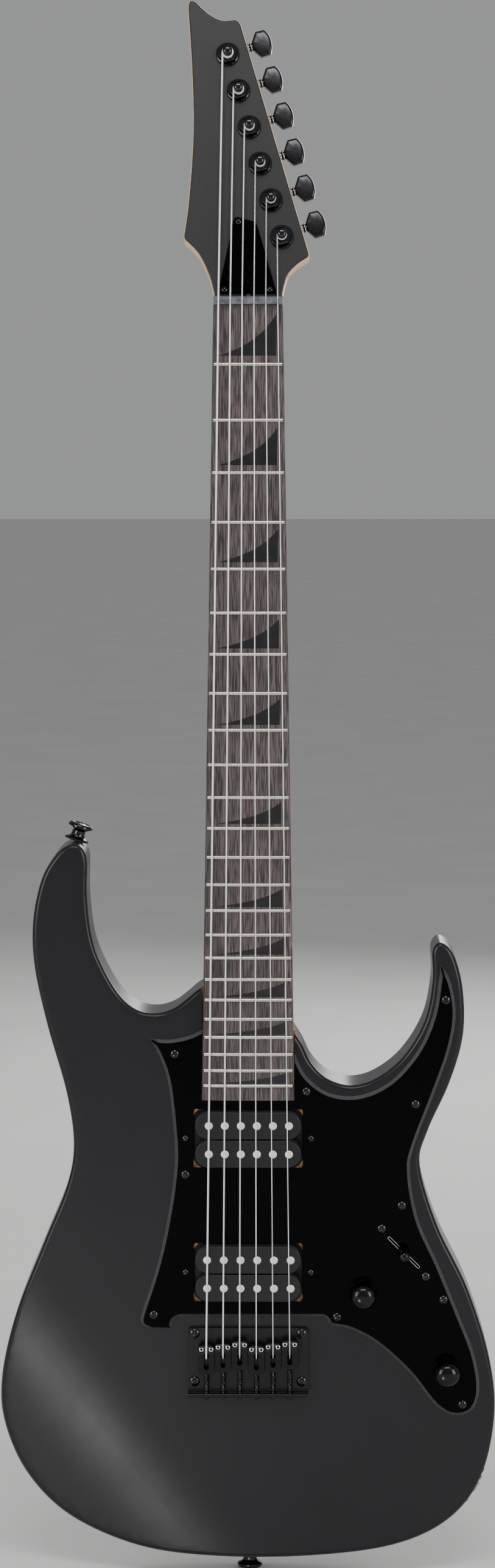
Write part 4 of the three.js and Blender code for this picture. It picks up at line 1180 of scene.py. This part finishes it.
ferrules = Shell()
for i in range(STRINGS):
    profile = [(1.5, 39.6), (1.5, 43.6), (2.0, 44.3), (3.0, 44.9), (4.2, 45.2), (4.42, 45.0), (4.42, 39.6)]
    ferrules.turned(profile, turned_to((string_x(i, PITCH_BRIDGE), 0, STRING_HOLE_Z), BACK), 32)
show("string_ferrules", ferrules.mesh(), [BLACK_CHROME])


# ---- strings ---------------------------------------------------------------------------------
def wrap_radius(i):
    return 2.55 + STRING_RADII[i]


def string_route(i):
    """From its post over the nut to its saddle, and down through the body."""
    upright = tuner_frame(i) @ Matrix.Rotation(TUNER_LINE, 4, "Y")
    start = upright @ Vector((-wrap_radius(i), -WINDING_HEIGHT, 0))
    nut = Vector((string_x(i, PITCH_NUT), STRING_Y_NUT, NUT_LENGTH - 1.6))
    x = string_x(i, PITCH_BRIDGE)
    drop = SADDLE_FRONT_Z[i] - 6.2
    saddle = Vector((x, STRING_Y_SADDLE, drop))
    route = [start.lerp(nut, t) for t in np.linspace(0, 0.97, 12)]
    route += [nut + Vector((0, 0.12, 1.0)), nut]
    route += [nut.lerp(saddle, t) for t in np.linspace(0.02, 1, 40)]
    bend = [(drop, STRING_Y_SADDLE), (drop - 1.2, STRING_Y_SADDLE + 0.1),
            (STRING_HOLE_Z, STRING_Y_SADDLE + 2.6), (STRING_HOLE_Z, STRING_Y_SADDLE + 7)]
    for k in range(1, 15):
        t = k / 14
        weights = ((1 - t) ** 3, 3 * t * (1 - t) ** 2, 3 * t * t * (1 - t), t**3)
        z, y = (sum(w * p[axis] for w, p in zip(weights, bend)) for axis in (0, 1))
        route.append(Vector((x, y, z)))
    route += [Vector((x, y, STRING_HOLE_Z)) for y in (0, 20, 39)]
    return route


def make_winding(i):
    """The string's turns about its post, the last one at the height where it leaves for the nut."""
    radius = STRING_RADII[i]
    rounds = 3
    steps = 28 * rounds
    place = tuner_frame(i) @ Matrix.Rotation(TUNER_LINE, 4, "Y")
    points = []
    for k in range(steps + 1):
        angle = math.pi + 2 * math.pi * rounds * k / steps
        lift = WINDING_HEIGHT - 2.05 * radius * rounds * k / steps
        around = (wrap_radius(i) * math.cos(angle), -lift, wrap_radius(i) * math.sin(angle))
        points.append(place @ Vector(around))
    return Shell().tube(points, radius, 10).mesh()


for i, radius in enumerate(STRING_RADII):
    wire = WOUND_WIRE if i < 3 else PLAIN_WIRE
    string = Shell().tube(string_route(i), radius, 14).mesh()
    show(f"string_wire_{i + 1}", string, [wire],
         stands_for=[f"string_{i + 1}"], sharp=60)
    show(f"string_winding_{i + 1}", make_winding(i), [wire], f"tuner_spool_{i + 1}",
         sharp=60)


# ---- tuners ----------------------------------------------------------------------------------
def gearbox():
    """The sealed case behind the headstock and its sleeve; its cover screw is made apart from it."""
    back = HEAD_THICK + GAP
    outline = rounded(19, 19.5, 4, 0, 2.4)
    layers = [(0.3, back), (0, back + 0.3), (0, back + 8.8)]
    layers += [
        (3.4 - 3.4 * math.cos(a), back + 8.8 + 3.6 * math.sin(a))
        for a in np.linspace(0.2, math.pi / 2, 7)
    ]
    case = Shell().slab(outline, layers).mesh()
    out = Matrix.Translation(WORM) @ TO_SIDE
    sleeve = [(0, 5), (4.2, 5), (4.2, 11.4), (3.7, 11.9), (3.7, 13.4), (3.4, 13.9), (0, 13.9)]
    case = boolean(case, Shell().turned(sleeve, out, 32).mesh(), "UNION")
    tools = Shell().turned([(0, 1.6), (2.7, 1.6), (2.7, 20), (0, 20)], out, 24)
    tools.turned([(0, -6), (3.4, -6), (3.4, back + 9.4), (0, back + 9.4)], TO_BACK, 24)
    return boolean(case, tools.mesh())


def post_nut():
    """The washer and hexagonal nut on the headstock's face."""
    shell = Shell()
    washer = [(4.9, -GAP), (7.0, -GAP), (7.3, -0.6), (7.3, -1.1), (7.05, -1.4), (6.5, -1.25), (4.9, -1.2)]
    shell.turned([(r, -h) for r, h in washer], TO_FRONT, 48)
    hexagon = fillet(circle(6.1, sides=6), 0.5)
    shell.slab(hexagon, [(0.75, -3.5), (0.15, -3.1), (0, -2.8), (0, -1.3)], [circle(3.5, sides=30)])
    barrel = [(3.5, -2.9), (4.35, -2.9), (4.35, -4.1), (4.1, -4.35), (3.7, -4.35), (3.5, -4.1)]
    shell.turned([(r, -h) for r, h in barrel], TO_FRONT, 36)
    collar = [(3.5, 1), (4.8, 1), (4.8, -HEAD_THICK - 0.2), (3.5, -HEAD_THICK - 0.2)]
    shell.turned(collar, TO_FRONT, 30)
    return shell.mesh()


POST_PROFILE = [
    (0, -23.8), (3, -23.8), (3, 3.6), (2.9, 4.0), (2.55, 4.6), (2.45, 5.4), (2.45, 7.2), (2.55, 7.9), (2.8, 8.5),
    (2.95, 9.1), (2.92, 9.9), (2.7, 10.6), (2.2, 11.1), (1.4, 11.4), (0.6, 11.49), (0, 11.5),
]


def key_outline():
    path = Path(17.8, 2.5).line(21.9, 8.6).line(27.9, 8.3)
    path.spline([(29.6, 4.6), (30.1, 0.6), (29.4, -4), (27.5, -8)], 5)
    return path.line(21.4, -8.3).line(17.8, -2.5).points


def tuner_key():
    """The grip, flat-sided and slightly crowned, on its shaft and ringed collar."""
    outline = fillet(key_outline(), 0.7, 3)
    shell = Shell()
    centre = (24.2, 0)
    steps = [(0.16, 3.42), (0.45, 3.38), (0.72, 3.22), (0.86, 3.04), (0.93, 2.7), (0.975, 2.1), (1, 1.2)]
    heights = [(share, -y) for share, y in steps] + [(share, y) for share, y in reversed(steps)]
    place = Matrix.Translation(WORM)
    grip = shell.loft([
        shell.ring([(u, y, v) for u, v in scaled(outline, share, centre)], place)
        for share, y in heights
    ]).mesh()
    out = place @ TO_SIDE
    collar = [(0, 2), (2.1, 2), (2.1, 14.3), (2.7, 14.3), (3.0, 14.5), (3.0, 15.5), (2.75, 15.7), (2.45, 15.8),
              (2.45, 16.1), (2.85, 16.2), (3.0, 16.4), (3.0, 17.2), (2.8, 17.4), (2.4, 17.6), (2.3, 19), (0, 19)]
    return boolean(grip, Shell().turned(collar, out, 32).mesh(), "UNION")


def key_rings():
    """Two bright rings let into the key's collar."""
    shell = Shell()
    out = Matrix.Translation(WORM) @ TO_SIDE
    section = [(2.5, 0), (3.04, 0), (3.08, 0.1), (3.08, 0.35), (3.04, 0.45), (2.5, 0.45)]
    for u in (14.85, 16.65):
        shell.turned([(r, u + h) for r, h in section], out, 32)
    return shell.mesh()


CASE, NUT, KEY, RINGS = gearbox(), post_nut(), tuner_key(), key_rings()
for i in range(STRINGS):
    place = tuner_frame(i)
    number = i + 1
    show(f"tuner_case_{number}", Shell().copies(CASE, [place]).mesh(), [BLACK_CHROME], "root",
         [f"tuner_housing_{number}"])
    show(f"tuner_nut_{number}", Shell().copies(NUT, [place]).mesh(), [BLACK_CHROME], "root")
    post = Shell().turned(POST_PROFILE, place @ TO_FRONT, 36).mesh()
    show(f"tuner_capstan_{number}", post, [BLACK_CHROME], f"tuner_spool_{number}",
         [f"tuner_post_{number}"])
    show(f"tuner_grip_{number}", Shell().copies(KEY, [place]).mesh(), [KEY_BLACK], f"tuner_key_{number}",
         [f"tuner_button_{number}"])
    show(f"tuner_rings_{number}", Shell().copies(RINGS, [place]).mesh(), [CHROME], f"tuner_key_{number}")
case_places = [
    tuner_frame(i) @ turned_to((0, HEAD_THICK + GAP + 12.3, 1.5), BACK) for i in range(STRINGS)
]
screws("tuner_case_screws", case_places, 2.4, 0.8)


# ---- strap buttons ---------------------------------------------------------------------------
STRAP_PROFILE = [
    (0, 1.2), (6.2, 1.2), (6.4, 1.6), (5.2, 2.3), (4.5, 3.2), (4.3, 4.6), (4.4, 6.2), (5.4, 7.3), (7.2, 7.9),
    (7.9, 8.5), (8.0, 9.3), (7.7, 10.2), (6.9, 10.9), (5.4, 11.1), (4.6, 10.4), (0, 10.2),
]
FELT_PROFILE = [(0, 0.05), (7.4, 0.05), (7.6, 0.3), (7.6, 0.9), (7.3, 1.15), (0, 1.15)]
for name, (at, axis) in {"upper": STRAP_UPPER, "lower": STRAP_LOWER}.items():
    place = turned_to(at, axis)
    show(f"strap_peg_{name}", Shell().turned(STRAP_PROFILE, place, 48).mesh(), [BLACK_CHROME], "root",
         [f"strap_button_{name}"])
    show(f"strap_felt_{name}", Shell().turned(FELT_PROFILE, place, 48).mesh(), [FELT], "root")
    screws(f"strap_screw_{name}", [place @ Matrix.Translation((0, 0, 10.2))], 3.6, 1.1)


# ---- nodes that keep their CAD shape ---------------------------------------------------------
def dress(material, *nodes):
    for node in nodes:
        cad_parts[node].data.materials.clear()
        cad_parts[node].data.materials.append(material)


dress(STEEL, "truss_rod", "volume_pot", "tone_pot", "volume_shaft", "tone_shaft", "switch_body", "switch_lever")
# The pickup base plates are bright steel coloured dark here: painted shade under the bobbins.
dress(SHADED_BASE_STEEL, "neck_pickup_base", "bridge_pickup_base")


# ---- floor, light and camera, in metres ------------------------------------------------------
SENSOR = 36
LENS_RATIO = 2.6565
CAMERA_RISE, CAMERA_SWING = math.radians(4.92), math.radians(0.7)
CAMERA_REACH = 2.6
CAMERA_TARGET = (-0.00045, 0, -0.29695)
SKY_COLOUR, SKY_STRENGTH = (0.86, 0.87, 0.88, 1), 0.38
MIDDLE = (0, 0, -0.3)
SOFTBOXES = {  # place, target, size, watts
    "left_box": ((-2.0, -1.9, 0.2), MIDDLE, (1.1, 1.5), 34),
    "right_box": ((2.0, -1.9, 0.2), MIDDLE, (1.1, 1.5), 34),
    "top_box": ((0, -1.75, 1.75), MIDDLE, (1.6, 0.5), 26),
    "back_box": ((0.9, 2.3, 0.7), MIDDLE, (1.6, 1.6), 45),
}
LOW_BOX = ((-0.5, -1.6, -1.3), (-0.1, 0, -0.71), (0.3, 0.3), 3.5)  # below the floor, for the forearm


def make_floor():
    floor = Finish("pale_floor", 0.8, specular=0.2)
    grain = floor.noise(6, detail=4)
    floor.colour(floor.ramp(grain, (0.3, linear(216, 215, 213)), (0.7, linear(222, 221, 219))))
    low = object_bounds()[0].z
    bpy.ops.mesh.primitive_plane_add(size=60, location=(0, 0, low - 0.0005))
    plane = bpy.context.object
    plane.name = "floor"
    plane.data.materials.append(floor.material)
    plane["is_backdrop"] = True
    return plane


def softbox(name, place, target, size, energy, spared=None):
    """An area light. It passes through the spared object and doesn't light it."""
    light = bpy.data.lights.new(name, "AREA")
    light.shape = "RECTANGLE"
    light.size, light.size_y = size
    light.energy = energy
    lamp = bpy.data.objects.new(name, light)
    bpy.context.scene.collection.objects.link(lamp)
    lamp.location = place
    lamp.rotation_euler = (Vector(target) - Vector(place)).to_track_quat("-Z", "Y").to_euler()
    if spared:
        group = bpy.data.collections.new(f"{name}_spares")
        group.objects.link(spared)
        group.collection_objects[0].light_linking.link_state = "EXCLUDE"
        lamp.light_linking.receiver_collection = group
        lamp.light_linking.blocker_collection = group


def make_camera():
    """Level with the guitar's middle, a little above it and a hair to the treble side."""
    data = bpy.data.cameras.new("camera")
    data.sensor_width = SENSOR
    data.lens = SENSOR * LENS_RATIO
    camera = bpy.data.objects.new("camera", data)
    bpy.context.scene.collection.objects.link(camera)
    rise, swing = CAMERA_RISE, CAMERA_SWING
    away = Vector((
        math.sin(swing) * math.cos(rise), -math.cos(swing) * math.cos(rise), math.sin(rise)
    ))
    camera.location = Vector(CAMERA_TARGET) + away * CAMERA_REACH
    camera.rotation_euler = (-away).to_track_quat("-Z", "Y").to_euler()
    bpy.context.scene.camera = camera


def make_world():
    world = bpy.data.worlds.new("studio")
    world.use_nodes = True
    sky = world.node_tree.nodes["Background"].inputs
    sky["Color"].default_value = SKY_COLOUR
    sky["Strength"].default_value = SKY_STRENGTH
    bpy.context.scene.world = world


floor = make_floor()
for name, setting in SOFTBOXES.items():
    softbox(name, *setting)
softbox("low_box", *LOW_BOX, floor)
make_world()
make_camera()
